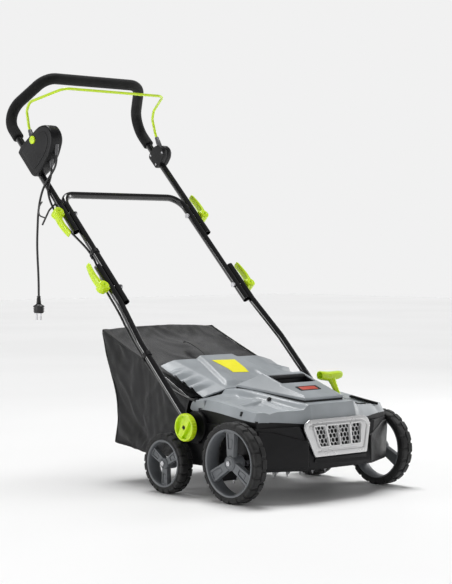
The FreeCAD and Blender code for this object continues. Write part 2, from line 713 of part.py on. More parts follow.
def make_belt():
    """The toothed belt as a closed loop round both pulleys, clear of their teeth."""
    small = V(0, size("motor_y"), size("motor_z"))
    large = V(0, size("roller_y"), size("roller_z"))
    span = large - small
    gap = size("run_gap") * 4

    def loop(extra):
        small_rad = size("motor_teeth") + gap + extra
        large_rad = size("roller_teeth") + gap + extra
        spread = math.asin((large_rad - small_rad) / span.Length)
        heading = math.atan2(span.z, span.y)
        wires = []
        ends = []
        for hand in (1, -1):
            angle = heading + hand * (math.pi / 2 + spread)
            out = V(0, math.cos(angle), math.sin(angle))
            ends.append((small + out * small_rad, large + out * large_rad))
        back = V(0, -math.cos(heading), -math.sin(heading))
        (small_a, large_a), (small_b, large_b) = ends
        wires.append(Part.LineSegment(small_a, large_a).toShape())
        wires.append(Part.Arc(large_a, large - back * large_rad, large_b).toShape())
        wires.append(Part.LineSegment(large_b, small_b).toShape())
        wires.append(Part.Arc(small_b, small + back * small_rad, small_a).toShape())
        face = Part.Face(Part.Wire(wires))
        return face.extrude(V(size("belt_wide"), 0, 0))
    belt = feature("drive_belt", loop(size("belt_thick")).cut(loop(0)))
    put(belt, "pulley_x - belt_wide / 2")


make_belt()

node(cylinder("roller_rod", "shaft_rad", "pulley_x * -2 + 16", 0, "roller_y", "roller_z"),
     "roller_shaft")

bearings = []
for side in (-1, 1):
    race = cylinder("bearing_race", "2 * shaft_rad", "deck_wall", f"{side} * (chamber_half + deck_wall / 2)",
                    "roller_y", "roller_z")
    hole = cylinder("bearing_hole", "shaft_rad + run_gap", 12, f"{side} * (chamber_half + deck_wall / 2)",
                    "roller_y", "roller_z")
    bearings.append(cut("bearing", race, hole))
node(group("bearing_set", bearings), "roller_bearings")


def make_blades():
    """Star-shaped scarifier blades in pairs along the shaft, and the bushes between them."""
    count = int(size("blade_count"))
    pitch = 2 * (size("chamber_half") - 14) / (count - 1)
    tip = size("blade_rad")
    bore = size("shaft_rad")
    thick = size("blade_thick")
    blades, bushes = [], []
    for i in range(count):
        x = -size("chamber_half") + 14 + i * pitch
        corners = []
        for step in range(8):
            angle = math.radians(45 * step + 22.5 * (i % 2))
            reach = tip if step % 2 == 0 else tip * 0.42
            corners.append(V(x - thick / 2, reach * math.cos(angle), reach * math.sin(angle)))
        star = Part.Face(Part.makePolygon(corners + corners[:1])).extrude(V(thick, 0, 0))
        blades.append(star.cut(Part.makeCylinder(bore, thick * 3, V(x - thick * 1.5, 0, 0), V(1, 0, 0))))
        if i < count - 1:
            start = V(x + thick / 2, 0, 0)
            bush = Part.makeCylinder(bore + 4, pitch - thick, start, V(1, 0, 0))
            bushes.append(bush.cut(Part.makeCylinder(bore, pitch - thick, start, V(1, 0, 0))))
    put(feature("roller_blades", Part.makeCompound(blades)), 0, "roller_y", "roller_z")
    put(feature("blade_spacers", Part.makeCompound(bushes)), 0, "roller_y", "roller_z")


make_blades()

# ---- rear flap and bag --------------------------------------------------------------


def make_rear_flap():
    """A pressed flap on two moulded trunnions; it lies over the bag's mouth."""
    rear_y = size("flap_rear_y")
    rear_z = size("flap_rear_z")
    half = size("flap_half")
    skin = size("cover_wall")

    slope = (size("cover_rear") - 246) / (half - 116)

    def section(y, crown_half, crown_z):
        edge_z = crown_z - slope * (half - crown_half)
        upper = [V(-half, y, edge_z), V(-crown_half, y, crown_z), V(crown_half, y, crown_z),
                 V(half, y, edge_z)]
        return upper + [point - V(0, 0, skin) for point in reversed(upper)]
    front = section(size("cover_rear_y") + 5, 116, size("cover_rear"))
    rear = section(rear_y, 150, rear_z)
    rims = [front, rear] + [[front[i - 1], front[i], rear[i], rear[i - 1]] for i in range(len(front))]
    faces = [Part.Face(Part.makePolygon(rim + rim[:1])) for rim in rims]
    plate = Part.makeSolid(Part.makeShell(faces))
    pivot_y = size("flap_hinge_y")
    pivot_z = size("flap_hinge_z")
    barrel = Part.makeCylinder(4, 216, V(-108, pivot_y, pivot_z), V(1, 0, 0))
    arms = [Part.makeBox(6, 6, 7, V(x - 3, pivot_y - 3, pivot_z)) for x in (-96, -32, 32, 96)]
    solid = plate.fuse([barrel] + arms)
    put(feature("rear_flap", solid))


make_rear_flap()


def make_bag():
    """The fabric bag: open at its slanted mouth, hollow inside."""
    body = new_body("grass_bag")
    side = new_sketch(body, "YZ_Plane")
    outline(side, [
        ("236", "244"), ("flap_rear_y", "flap_rear_z - 26"), ("398", "320"), ("598", "402"),
        ("560", "290"), ("530", "160"), ("547", "103"), ("409", "86"), ("300", "92")])
    grow(body, "Pad", side, "2 * bag_half", both=True)
    tip = body.Tip
    shell = body.newObject("PartDesign::Thickness", "grass_bag_shell")
    mouth = V(0, 268, 168)
    picked = min(range(len(tip.Shape.Faces)),
                 key=lambda i: tip.Shape.Faces[i].CenterOfMass.distanceToPoint(mouth))
    shell.Base = (tip, [f"Face{picked + 1}"])
    bind(shell, "Value", "bag_wall")
    shell.Reversed = True
    shell.Join = 1
    doc.recompute()
    put(body)


make_bag()


def make_bag_frame():
    """Bent wire: a rail along each upper side of the bag, joined across its mouth."""
    rail_x = size("bag_half") + 4.5
    points = [V(-rail_x, 392, 306), V(-rail_x, 330, 288), V(-rail_x, 226, 236), V(rail_x, 226, 236),
              V(rail_x, 330, 288), V(rail_x, 392, 306)]
    wire = tube_along(rounded_path(points, [60, 14, 14, 60]), 3)
    put(feature("bag_frame", wire))


make_bag_frame()

# ---- handle bosses and knobs --------------------------------------------------------

bosses = []
for side in (-1, 1):
    disc = cylinder("boss_disc", "boss_rad", 10, f"{side} * (deck_half + 5)", "handle_y", "handle_z")
    stud = cylinder("boss_stud", "stud_rad", 44, f"{side} * (deck_half + 26)", "handle_y", "handle_z")
    lug = block("boss_lug", 10, 30, 44, f"{side} * (deck_half + 5)", "handle_y", "deck_top - 30")
    bosses.append(fuse("boss", [disc, stud, lug]))
node(group("boss_set", bosses), "handle_bosses")

for side_name, side in (("left", 1), ("right", -1)):
    knob = new_body(f"handle_knob_{side_name}")
    round_face = new_sketch(knob, "YZ_Plane")
    ring(round_face, "knob_rad")
    ring(round_face, "stud_rad + run_gap")
    grow(knob, "Pad", round_face, "knob_thick", both=True)
    scallop = new_sketch(knob, "YZ_Plane")
    ring(scallop, 3, 0, "knob_rad + 1")
    repeat_round(knob, grow(knob, "Pocket", scallop, 40, both=True), 16)
    put(knob, f"{side} * (low_tube_x + tube_rad + 0.7 + knob_thick / 2)", "handle_y", "handle_z")

# ---- handle tubes -------------------------------------------------------------------


def cross_hole(solid, x, up, radius):
    """Drills a tube across, along x, at a distance up the handle."""
    return solid.cut(Part.makeCylinder(radius, 60, V(x - 30, up, 0), V(1, 0, 0)))


def make_lower_tube(name, side):
    points = [V(side * size("low_tube_x"), -13, 0), V(side * size("low_tube_x"), size("splay_low"), 0),
              V(side * size("out_tube_x"), size("splay_high"), 0),
              V(side * size("out_tube_x"), size("low_tube_end"), 0)]
    tube = tube_along(rounded_path(points, [120, 120]), size("tube_rad"), size("tube_rad - tube_wall"))
    tube = cross_hole(tube, points[0].x, 0, size("stud_rad + run_gap"))
    tube = cross_hole(tube, points[-1].x, size("low_bolt"), size("stud_rad"))
    put_on_handle(feature(name, tube))


make_lower_tube("lower_tube_left", 1)
make_lower_tube("lower_tube_right", -1)


def make_middle_tube():
    leg = size("leg_x")
    points = [V(-leg, size("leg_end"), 0), V(-leg, size("cross_bar"), 0),
              V(leg, size("cross_bar"), 0), V(leg, size("leg_end"), 0)]
    bend = size("loop_bend")
    tube = tube_along(rounded_path(points, [bend, bend]), size("tube_rad"), size("tube_rad - tube_wall"))
    for x in (-leg, leg):
        tube = cross_hole(tube, x, size("low_bolt"), size("stud_rad + run_gap"))
        tube = cross_hole(tube, x, size("high_bolt"), size("stud_rad"))
    put_on_handle(feature("middle_tube", tube))


make_middle_tube()


def upper_points(start):
    """The upper handle's route from a distance up one side to the same on the other."""
    side_x = size("out_tube_x")
    half = [V(-side_x, start, 0), V(-side_x, size("grip_turn"), 0),
            V(-size("top_half"), size("grip_turn") - 2, size("grip_rise"))]
    return half + [V(-p.x, p.y, p.z) for p in reversed(half)]


def make_upper_tube():
    outer = size("tube_rad")
    path = rounded_path(upper_points(size("high_tube_end")), [62, 55, 55, 62])
    tube = tube_along(path, outer, outer - size("tube_wall"))
    for x in (-size("out_tube_x"), size("out_tube_x")):
        tube = cross_hole(tube, x, size("high_bolt"), size("stud_rad + run_gap"))
    put_on_handle(feature("upper_tube", tube))
    grip_path = rounded_path(upper_points(size("grip_start")), [62, 55, 55, 62])
    grip = tube_along(grip_path, size("grip_rad"), outer + 0.02)
    put_on_handle(feature("foam_grip", grip))


make_upper_tube()

# ---- cam bolts and levers -----------------------------------------------------------


def cam_bolts(name, up):
    """Two cross bolts with heads inside; each ends in the eye of its cam lever."""
    bolts = []
    for side in (-1, 1):
        rod = Part.makeCylinder(size("stud_rad"), 58, V(side * 206, size(up), 0), V(side, 0, 0))
        head = Part.makeCylinder(7, 5, V(side * 203, size(up), 0), V(side, 0, 0))
        bolts.append(rod.fuse(head))
    put_on_handle(feature(name, Part.makeCompound(bolts)))


cam_bolts("cam_bolts_lower", "low_bolt")
cam_bolts("cam_bolts_upper", "high_bolt")


def cam_lever(name, side, up, points_up):
    """A forked cam head that swings round the bolt's end, with a flat finger lever."""
    start = size("out_tube_x") + size("tube_rad") + size("cam_gap")
    cam_rad, cam_high = size("cam_rad"), size("cam_high")
    middle = V(side * (start + cam_rad), size(up), 0)
    head = Part.makeCylinder(cam_rad, cam_high, middle - V(0, 0, cam_high / 2), V(0, 0, 1))
    long, wide, thick = size("finger_long"), size("finger_wide"), size("finger_thick")
    foot = 0 if points_up > 0 else -long
    arm = Part.makeBox(thick, long, wide, middle + V(side * 2 - thick / 2, foot, -wide / 2))
    half = size("stud_rad") + size("cam_gap")
    tail = -cam_rad - 1 if points_up > 0 else -half - 1
    fork = Part.makeBox(2 * cam_rad + 2, cam_rad + half + 2, 2 * half,
                        middle + V(-cam_rad - 1, tail, -half))
    put_on_handle(feature(name, head.fuse(arm).removeSplitter().cut(fork)))


cam_lever("cam_lever_lower_right", -1, "low_bolt", 1)
cam_lever("cam_lever_lower_left", 1, "low_bolt", 1)
cam_lever("cam_lever_upper_right", -1, "high_bolt", -1)
cam_lever("cam_lever_upper_left", 1, "high_bolt", 1)

# ---- switch box, bracket, bail ------------------------------------------------------


def make_switch_box():
    """Housing clamped round the upper tube, with a room for the switch and a bail slot."""
    body = new_body("switch_box")
    middle = "-(box_out + box_in) / 2"
    shape = new_sketch(body, "YZ_Plane", middle)
    outline(shape, [
        ("1034", "-14"), ("1037", "8"), ("1026", "56"), ("1013", "107"), ("988", "134"),
        ("958", "134"), ("937", "122"), ("921", "82"), ("919", "26"), ("928", "-8"), ("940", "-14")])
    grow(body, "Pad", shape, "box_out - box_in", both=True)
    round_off(body, 5, lambda edge: along(V(1, 0, 0))(edge))
    room = new_sketch(body, "YZ_Plane", middle)
    outline(room, [
        ("1030", "15"), ("1021", "56"), ("1008", "105"), ("986", "128"), ("960", "128"),
        ("942", "117"), ("927", "80"), ("925", "28"), ("929", "15")])
    grow(body, "Pocket", room, "box_out - box_in - 6", both=True)
    bore = new_sketch(body, "XZ_Plane")
    ring(bore, "tube_rad + 0.02", "-out_tube_x", 0)
    grow(body, "Pocket", bore, 3000, both=True)
    slot = new_sketch(body, "YZ_Plane", "-bail_x")
    outline(slot, [("1022", "18"), ("1042", "16"), ("1042", "50"), ("1018", "50")])
    grow(body, "Pocket", slot, 12, both=True)
    pin = new_sketch(body, "YZ_Plane", middle)
    ring(pin, "bail_rad", "bail_s", "bail_n")
    grow(body, "Pad", pin, "box_out - box_in - 5", both=True)
    button_hole = new_sketch(body, "YZ_Plane", "-box_out")
    ring(button_hole, 12, 1004, 62)
    grow(body, "Pocket", button_hole, 7, both=True)
    put_on_handle(body)

    button = new_body("switch_button")
    cap = new_sketch(button, "YZ_Plane", "-box_out - 5")
    ring(cap, 11.6, 1004, 62)
    grow(button, "Pad", cap, 10, back=False)
    put_on_handle(button)


make_switch_box()


def make_bail_bracket():
    """The smaller bearing housing of the bail on the operator's left."""
    body = new_body("bail_bracket")
    middle = "(box_out + box_in) / 2 - 2"
    shape = new_sketch(body, "YZ_Plane", middle)
    outline(shape, [
        ("992", "-14"), ("1040", "-14"), ("1046", "0"), ("1044", "30"), ("1030", "47"),
        ("1008", "50"), ("992", "36"), ("988", "10")])
    grow(body, "Pad", shape, "34", both=True)
    room = new_sketch(body, "YZ_Plane", "bail_x")
    outline(room, [("1000", "16"), ("1060", "16"), ("1060", "52"), ("1040", "52"), ("1000", "44")])
    grow(body, "Pocket", room, 12, both=True)
    bore = new_sketch(body, "XZ_Plane")
    ring(bore, "tube_rad + 0.02", "out_tube_x", 0)
    grow(body, "Pocket", bore, 3000, both=True)
    pin = new_sketch(body, "YZ_Plane", "bail_x")
    ring(pin, "bail_rad", "bail_s", "bail_n")
    grow(body, "Pad", pin, 14, both=True)
    put_on_handle(body)


make_bail_bracket()


def bail_points():
    """Half of the bail's route, from its pivot to the cross bar."""
    arm = size("bail_x")
    return [V(-arm, size("bail_s") + 6, size("bail_n") + 2), V(-arm, 1072, 49), V(-arm + 2, 1116, 74),
            V(-arm + 5, 1126, 98), V(-182, 1080, 193)]


def make_bail():
    half = bail_points()
    points = half + [V(-p.x, p.y, p.z) for p in reversed(half)]
    radii = [60, 22, 22, 30]
    rod = tube_along(rounded_path(points, radii + radii[::-1]), size("bail_rad"))
    pivot_s, pivot_n = size("bail_s"), size("bail_n")
    for x in (-size("bail_x"), size("bail_x")):
        eye = Part.makeCylinder(8, 8, V(x - 4, pivot_s, pivot_n), V(1, 0, 0))
        rod = rod.fuse(eye)
    for x in (-size("bail_x"), size("bail_x")):
        hole = Part.makeCylinder(size("bail_rad + run_gap"), 20, V(x - 10, pivot_s, pivot_n), V(1, 0, 0))
        rod = rod.cut(hole)
    put_on_handle(feature("bail_bar", rod.removeSplitter()))
    sleeves = []
    base, tip = half[0], half[1]
    heading = (tip - base).normalize()
    for side in (-1, 1):
        start = base + heading * 27
        spot = V(side * -start.x, start.y, start.z)
        course = V(0, heading.y, heading.z)
        sleeve = Part.makeCylinder(6.5, 18, spot, course)
        sleeves.append(sleeve.cut(Part.makeCylinder(size("bail_rad"), 18, spot, course)))
    put_on_handle(feature("bail_sleeves", Part.makeCompound(sleeves)))


make_bail()

# ---- cords --------------------------------------------------------------------------

MAINS_ROUTE = [
    (-240, 752, 884), (-240, 752, 866), (-243, 758, 846), (-251, 772, 822), (-258, 788, 797),
    (-261, 801, 763), (-262, 809, 724), (-262, 812, 682), (-263, 813, 638), (-261, 813.5, 596),
    (-259, 813, 557), (-257, 814, 521), (-257, 814, 492)]

LEAD_UPPER = [
    (-240, 908, 46.6), (-240, 895.2, 33.8), (-247, 880, 17.7), (-255, 862.7, 4.2), (-256, 834, -9),
    (-251, 800, -19), (-246, 762, -21), (-239, 722, -20), (-228, 682, -18), (-220, 650, -17),
    (-219, 628, -17)]
LEAD_MIDDLE = [
    (-219, 616, -17), (-220, 596, -17.5), (-227, 562, -19), (-236, 526, -20), (-241, 488, -20),
    (-242, 448, -19), (-245, 404, -18), (-250, 360, -18.5), (-254.5, 314, -18), (-256, 276, -17),
    (-256, 251, -17)]


def make_cords():
    mains = [V(*spot) for spot in MAINS_ROUTE]
    put(feature("mains_cord", cord("mains_cord", mains, size("cord_rad"))))
    for name, route in (("motor_lead_upper", LEAD_UPPER), ("motor_lead_middle", LEAD_MIDDLE)):
        put_on_handle(feature(name, cord(name, [V(*spot) for spot in route], size("lead_rad"))))
    clip_end = on_handle(-256, 239, -17)
    lean = math.radians(size("handle_lean"))
    clip_lead = clip_end - V(0, math.cos(lean), math.sin(lean)) * 18
    lower = [clip_end, clip_lead, V(-251, 316, 296), V(-243, 292, 276), V(-238, 262, 262),
             V(-235, 232, 250), V(-226, 207, 240), V(-226, 188.4, 240)]
    put(feature("motor_lead_lower", cord("motor_lead_lower", lower, size("lead_rad"))))

    end = mains[-1]
    neck = Part.makeCone(size("cord_rad") + 1, 6, 26, end - V(0, 0, 26))
    body = Part.makeCylinder(19, 22, end - V(0, 0, 48)).common(
        Part.makeBox(28, 38, 22, end - V(14, 19, 48)))
    pins = [Part.makeCylinder(2.4, 19, end - V(0, dy, 67)) for dy in (-9.5, 9.5)]
    plug = body.fuse([neck] + pins)
    put(feature("mains_plug", plug.removeSplitter()))


make_cords()


def make_glands():
    """Rubber sleeves where the two cables leave the switch box."""
    box = next(thing for thing in NODES if thing.Label == "switch_box").Shape
    box = box.translated(V(0, -size("front_axle_y"), 0))
    mains = Part.makeCone(size("cord_rad") + 1, 7, 30, V(*MAINS_ROUTE[0])).cut(box)
    lead = Part.makeCone(size("lead_rad") + 1, 7, 30, on_handle(*LEAD_UPPER[0])).cut(box)
    stubs = [min(cone.Solids, key=lambda part: part.CenterOfMass.z) for cone in (mains, lead)]
    put(feature("cord_glands", Part.makeCompound(stubs)))
    entry = Part.makeCone(6.5, size("lead_rad") + 1, 6, V(-226, 182, 240), V(0, 1, 0))
    put(feature("lead_gland", entry))


make_glands()


def cable_clip(name, x, up):
    """A snap ring round the tube that carries a smaller ring for the lead below it."""
    tube_rad = size("tube_rad")
    lead_rad = size("lead_rad")
    drop = size("lead_drop")
    big = Part.makeCylinder(tube_rad + 2, 12, V(x, up - 6, 0), V(0, 1, 0))
    small = Part.makeCylinder(lead_rad + 2.4, 12, V(x, up - 6, -drop), V(0, 1, 0))
    clip = big.fuse(small)
    clip = clip.cut(Part.makeCylinder(tube_rad + 0.02, 14, V(x, up - 7, 0), V(0, 1, 0)))
    bore = Part.makeCylinder(lead_rad + 0.4, 14, V(x, up - 7, -drop), V(0, 1, 0))
    put_on_handle(feature(name, clip.cut(bore).removeSplitter()))


cable_clip("cable_clip_upper", -size("leg_x"), size("clip_high"))
cable_clip("cable_clip_lower", -size("low_tube_x"), size("clip_low"))


def make_cord_hook():
    """A snap ring on the upper tube with a rod and an open hook that takes the cord's slack."""
    x = -size("out_tube_x")
    ring_solid = Part.makeCylinder(size("tube_rad") + 2, 12, V(x, 806, 0), V(0, 1, 0))
    ring_solid = ring_solid.cut(Part.makeCylinder(size("tube_rad") + 0.02, 14, V(x, 805, 0), V(0, 1, 0)))
    ring_solid = ring_solid.cut(Part.makeBox(20, 20, 40, V(x + 5, 800, -20)))
    rod_points = [V(x - 12.5, 812, -4), V(x - 26, 806, -20), V(x - 36, 790, -62)]
    rod = tube_along(rounded_path(rod_points, [20]), 2.6)
    hook_points = [V(x - 31, 797, -42), V(x - 42, 812, -48), V(x - 43, 830, -34), V(x - 36, 836, -16)]
    hook = tube_along(rounded_path(hook_points, [10, 10]), 2)
    put_on_handle(feature("cord_hook", ring_solid.fuse([rod, hook]).removeSplitter()))


make_cord_hook()

# ---- check and write ----------------------------------------------------------------

doc.recompute()
problems = []
for thing in doc.Objects:
    if {"Invalid", "Error"} & set(thing.State):
        problems.append(f"{thing.Label}: {thing.State}")
for thing in NODES:
    if thing.Shape.isNull() or not thing.Shape.isValid() or not thing.Shape.Solids:
        problems.append(f"{thing.Label}: no valid solid")
if len({thing.Label for thing in NODES}) != len(NODES):
    problems.append("two sub-parts share a name")
if problems:
    raise SystemExit("\n".join(problems))

os.makedirs("parts", exist_ok=True)
for thing in NODES:
    thing.Shape.exportStep(f"parts/{thing.Label}.step")
print(len(NODES), "sub-parts written")
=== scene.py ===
import json
import math

import bmesh
import bpy
from mathutils import Matrix, Vector, noise
from mathutils.kdtree import KDTree


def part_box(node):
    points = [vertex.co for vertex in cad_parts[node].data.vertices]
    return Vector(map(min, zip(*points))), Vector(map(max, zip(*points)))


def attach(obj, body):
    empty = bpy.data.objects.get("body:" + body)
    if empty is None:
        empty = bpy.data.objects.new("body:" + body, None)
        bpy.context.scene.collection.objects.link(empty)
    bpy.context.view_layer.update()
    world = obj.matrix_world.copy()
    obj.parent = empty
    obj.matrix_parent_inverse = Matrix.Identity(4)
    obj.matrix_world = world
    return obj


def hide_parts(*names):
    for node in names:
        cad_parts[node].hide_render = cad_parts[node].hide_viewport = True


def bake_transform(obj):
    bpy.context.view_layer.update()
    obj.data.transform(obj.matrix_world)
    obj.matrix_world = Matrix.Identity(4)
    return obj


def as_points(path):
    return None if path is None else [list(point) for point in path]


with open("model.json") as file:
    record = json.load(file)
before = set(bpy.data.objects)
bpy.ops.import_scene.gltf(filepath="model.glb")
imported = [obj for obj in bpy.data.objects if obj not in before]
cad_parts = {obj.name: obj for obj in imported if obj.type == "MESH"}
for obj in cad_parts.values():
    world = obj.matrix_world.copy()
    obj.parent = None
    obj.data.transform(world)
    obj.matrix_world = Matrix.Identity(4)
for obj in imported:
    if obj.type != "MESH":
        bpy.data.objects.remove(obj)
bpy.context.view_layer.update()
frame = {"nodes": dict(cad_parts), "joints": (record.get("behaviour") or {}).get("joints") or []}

# Lengths below are millimetres in the machine's own frame: x to the operator's left, y back from
# the front axle, z up from the ground. MM turns them into metres.
MM = 0.001
JOINT = {joint["name"]: Vector(joint["pos_m"]) for joint in frame["joints"] if "pos_m" in joint}
AXLE_Y = JOINT["front_left_roll"].y
PIVOT = JOINT["handle_tilt"]
LOW_BOLT = (JOINT["middle_fold"] - PIVOT).length / MM
HIGH_BOLT = (JOINT["upper_fold"] - PIVOT).length / MM
UP = (JOINT["middle_fold"] - PIVOT).normalized()
OFF = Vector((0, -UP.z, UP.y))
ACROSS = Vector((1, 0, 0))
BACK = Vector((0, 1, 0))
RISE = Vector((0, 0, 1))


def at(x, y, z):
    """A point of the machine's own frame, in metres."""
    return Vector((x * MM, AXLE_Y + y * MM, z * MM))


def on_handle(x, up, off=0):
    """A point of the handle's plane: up the tubes from the pivot, and off towards the front."""
    return PIVOT + ACROSS * (x * MM) + UP * (up * MM) + OFF * (off * MM)


def smoothstep(low, high, value):
    share = min(1.0, max(0.0, (value - low) / (high - low)))
    return share * share * (3 - 2 * share)


def lerp(first, second, share):
    return first + (second - first) * share


# ---- materials ------------------------------------------------------------------------


def scaled(colour, factor, extra=0.0):
    return tuple(min(1, part * factor + extra) for part in colour)


def new_material(name, colour, roughness, metallic=0.0, coat=0.0, sheen=0.0, specular=0.5):
    material = bpy.data.materials.new(name)
    material.use_nodes = True
    shader = material.node_tree.nodes["Principled BSDF"]
    shader.inputs["Base Color"].default_value = (*colour, 1)
    shader.inputs["Roughness"].default_value = roughness
    shader.inputs["Metallic"].default_value = metallic
    shader.inputs["Coat Weight"].default_value = coat
    shader.inputs["Coat Roughness"].default_value = 0.12
    shader.inputs["Sheen Weight"].default_value = sheen
    shader.inputs["Specular IOR Level"].default_value = specular
    return material


def add(material, kind, **settings):
    made = material.node_tree.nodes.new(kind)
    for key, value in settings.items():
        if hasattr(made, key):
            setattr(made, key, value)
        else:
            made.inputs[key.replace("_", " ")].default_value = value
    return made


def join(material, source, target):
    material.node_tree.links.new(source, target)


def texture(material, kind, scale, **settings):
    """A procedural texture that reads the piece's own coordinates."""
    place = add(material, "ShaderNodeTexCoord")
    made = add(material, kind, **settings)
    made.inputs["Scale"].default_value = scale
    join(material, place.outputs["Object"], made.inputs["Vector"])
    return made


def ramp(material, source, low, high, low_value, high_value):
    """Maps a texture's range low..high to low_value..high_value."""
    made = add(material, "ShaderNodeMapRange")
    for key, value in (("From Min", low), ("From Max", high), ("To Min", low_value), ("To Max", high_value)):
        made.inputs[key].default_value = value
    join(material, source, made.inputs["Value"])
    return made.outputs["Result"]


def blend_colours(material, first, second, factor):
    """Mixes two colours, or sockets, into the base colour, and returns the mixed socket."""
    mix = add(material, "ShaderNodeMix", data_type="RGBA")
    sockets = [socket for socket in mix.inputs if socket.type == "RGBA"]
    for value, socket in zip((first, second), sockets):
        if isinstance(value, tuple):
            socket.default_value = (*value, 1)
        else:
            join(material, value, socket)
    join(material, factor, mix.inputs["Factor"])
    mixed = next(socket for socket in mix.outputs if socket.type == "RGBA")
    join(material, mixed, material.node_tree.nodes["Principled BSDF"].inputs["Base Color"])
    return mixed


def vary_colour(material, source, first, second, low=0.35, high=0.65):
    """Base colour that wanders between two colours with a texture."""
    return blend_colours(material, first, second, ramp(material, source, low, high, 0, 1))


def bump(material, source, strength, distance):
    made = add(material, "ShaderNodeBump")
    made.inputs["Strength"].default_value = strength
    made.inputs["Distance"].default_value = distance
    join(material, source, made.inputs["Height"])
    shader = material.node_tree.nodes["Principled BSDF"]
    previous = shader.inputs["Normal"].links
    if previous:
        join(material, previous[0].from_socket, made.inputs["Normal"])
    join(material, made.outputs["Normal"], shader.inputs["Normal"])


def worn_edges(material, base, edge_colour):
    """Lightens convex edges, where plastic polishes and wears."""
    shape = add(material, "ShaderNodeNewGeometry")
    edge = ramp(material, shape.outputs["Pointiness"], 0.54, 0.64, 0, 0.35)
    blend_colours(material, base, edge_colour, edge)


def moulded(name, colour, roughness, grain=0.10, coat=0.0, spread=0.12, specular=0.5, metallic=0.0):
    """Injection-moulded plastic: fine spark grain, slow colour drift, uneven gloss, polished edges."""
    material = new_material(name, colour, roughness, metallic, coat, specular=specular)
    cloud = texture(material, "ShaderNodeTexNoise", 9, Detail=5.0)
    base = vary_colour(material, cloud.outputs["Fac"], scaled(colour, 1 - spread), scaled(colour, 1 + spread))
    worn_edges(material, base, scaled(colour, 1.5, 0.02))
    smear = texture(material, "ShaderNodeTexNoise", 28, Detail=3.0)
    rough = ramp(material, smear.outputs["Fac"], 0.3, 0.7, roughness - 0.06, roughness + 0.07)
    join(material, rough, material.node_tree.nodes["Principled BSDF"].inputs["Roughness"])
    spark = texture(material, "ShaderNodeTexNoise", 1500, Detail=2.0)
    bump(material, spark.outputs["Fac"], grain, 0.0004)
    return material


def enamel(name, colour, roughness, coat=0.6):
    """Gloss paint on steel, with orange peel and a few dust specks."""
    material = new_material(name, colour, roughness, coat=coat)
    peel = texture(material, "ShaderNodeTexNoise", 260, Detail=2.0)
    bump(material, peel.outputs["Fac"], 0.05, 0.0006)
    dust = texture(material, "ShaderNodeTexNoise", 160, Detail=4.0)
    vary_colour(material, dust.outputs["Fac"], colour, scaled(colour, 1.15, 0.004), 0.50, 0.75)
    return material


def plated(name, colour, roughness):
    """Zinc-plated or ground steel with fine brushing and dull patches."""
    material = new_material(name, colour, roughness, metallic=1.0)
    patch = texture(material, "ShaderNodeTexNoise", 35, Detail=6.0)
    vary_colour(material, patch.outputs["Fac"], scaled(colour, 0.72), colour)
    rough = ramp(material, patch.outputs["Fac"], 0.3, 0.7, roughness, roughness + 0.2)
    join(material, rough, material.node_tree.nodes["Principled BSDF"].inputs["Roughness"])
    brush = texture(material, "ShaderNodeTexWave", 420, Distortion=3.0)
    bump(material, brush.outputs["Fac"], 0.05, 0.0003)
    return material


def tyre_rubber():
    material = new_material("tread_rubber", (0.013, 0.013, 0.014), 0.60, sheen=0.05, specular=0.32)
    dust = texture(material, "ShaderNodeTexNoise", 40, Detail=8.0)
    vary_colour(material, dust.outputs["Fac"], (0.009, 0.009, 0.0095), (0.022, 0.022, 0.022))
    grain = texture(material, "ShaderNodeTexNoise", 700, Detail=4.0)
    bump(material, grain.outputs["Fac"], 0.25, 0.0005)
    return material


def foam_skin():
    material = new_material("foam_skin", (0.007, 0.007, 0.0075), 0.80, sheen=0.06, specular=0.25)
    pores = texture(material, "ShaderNodeTexVoronoi", 900)
    bump(material, pores.outputs["Distance"], 0.30, 0.0006)
    cloud = texture(material, "ShaderNodeTexNoise", 30, Detail=4.0)
    vary_colour(material, cloud.outputs["Fac"], (0.005, 0.005, 0.0055), (0.010, 0.010, 0.0105))
    return material


def woven_mesh(name, colour, sheen, open_weave_and_top_light_colour=None):
    """Polyester weave: two crossed thread waves and faded patches; an optional lighter colour is painted on
    faces that point up, partly the top panel's open weave and partly painted light from above.
    """
    material = new_material(name, colour, 0.72, sheen=sheen)
    place = add(material, "ShaderNodeTexCoord")
    weave = add(material, "ShaderNodeMath", operation="MAXIMUM")
    for degrees, socket in zip((45, -45), weave.inputs):
        mapping = add(material, "ShaderNodeMapping")
        mapping.inputs["Rotation"].default_value = (0, 0, math.radians(degrees))
        join(material, place.outputs["UV"], mapping.inputs["Vector"])
        thread = add(material, "ShaderNodeTexWave")
        thread.inputs["Scale"].default_value = 260
        join(material, mapping.outputs["Vector"], thread.inputs["Vector"])
        join(material, thread.outputs["Fac"], socket)
    bump(material, weave.outputs["Value"], 0.35, 0.0008)
    cloud = texture(material, "ShaderNodeTexNoise", 7, Detail=6.0, Roughness=0.6)
    base = vary_colour(material, cloud.outputs["Fac"], scaled(colour, 0.45), scaled(colour, 2.4), 0.40, 0.66)
    # Faces that point up get the lighter colour: partly open weave, partly painted light from above.
    if open_weave_and_top_light_colour:
        facing = add(material, "ShaderNodeSeparateXYZ")
        join(material, add(material, "ShaderNodeNewGeometry").outputs["Normal"], facing.inputs["Vector"])
        blend_colours(material, base, open_weave_and_top_light_colour, ramp(material, facing.outputs["Z"], 0.55, 0.85, 0, 0.8))
    return material


def sheath(name, colour, roughness):
    """A soft PVC cable sheath."""
    material = new_material(name, colour, roughness)
    cloud = texture(material, "ShaderNodeTexNoise", 120, Detail=3.0)
    vary_colour(material, cloud.outputs["Fac"], colour, scaled(colour, 1.6))
    bump(material, cloud.outputs["Fac"], 0.08, 0.0005)
    return material


def floor_paint():
    material = new_material("floor_paint", (0.86, 0.86, 0.86), 0.55)
    cloud = texture(material, "ShaderNodeTexNoise", 0.7, Detail=2.0)
    vary_colour(material, cloud.outputs["Fac"], (0.85, 0.85, 0.85), (0.88, 0.88, 0.88))
    return material


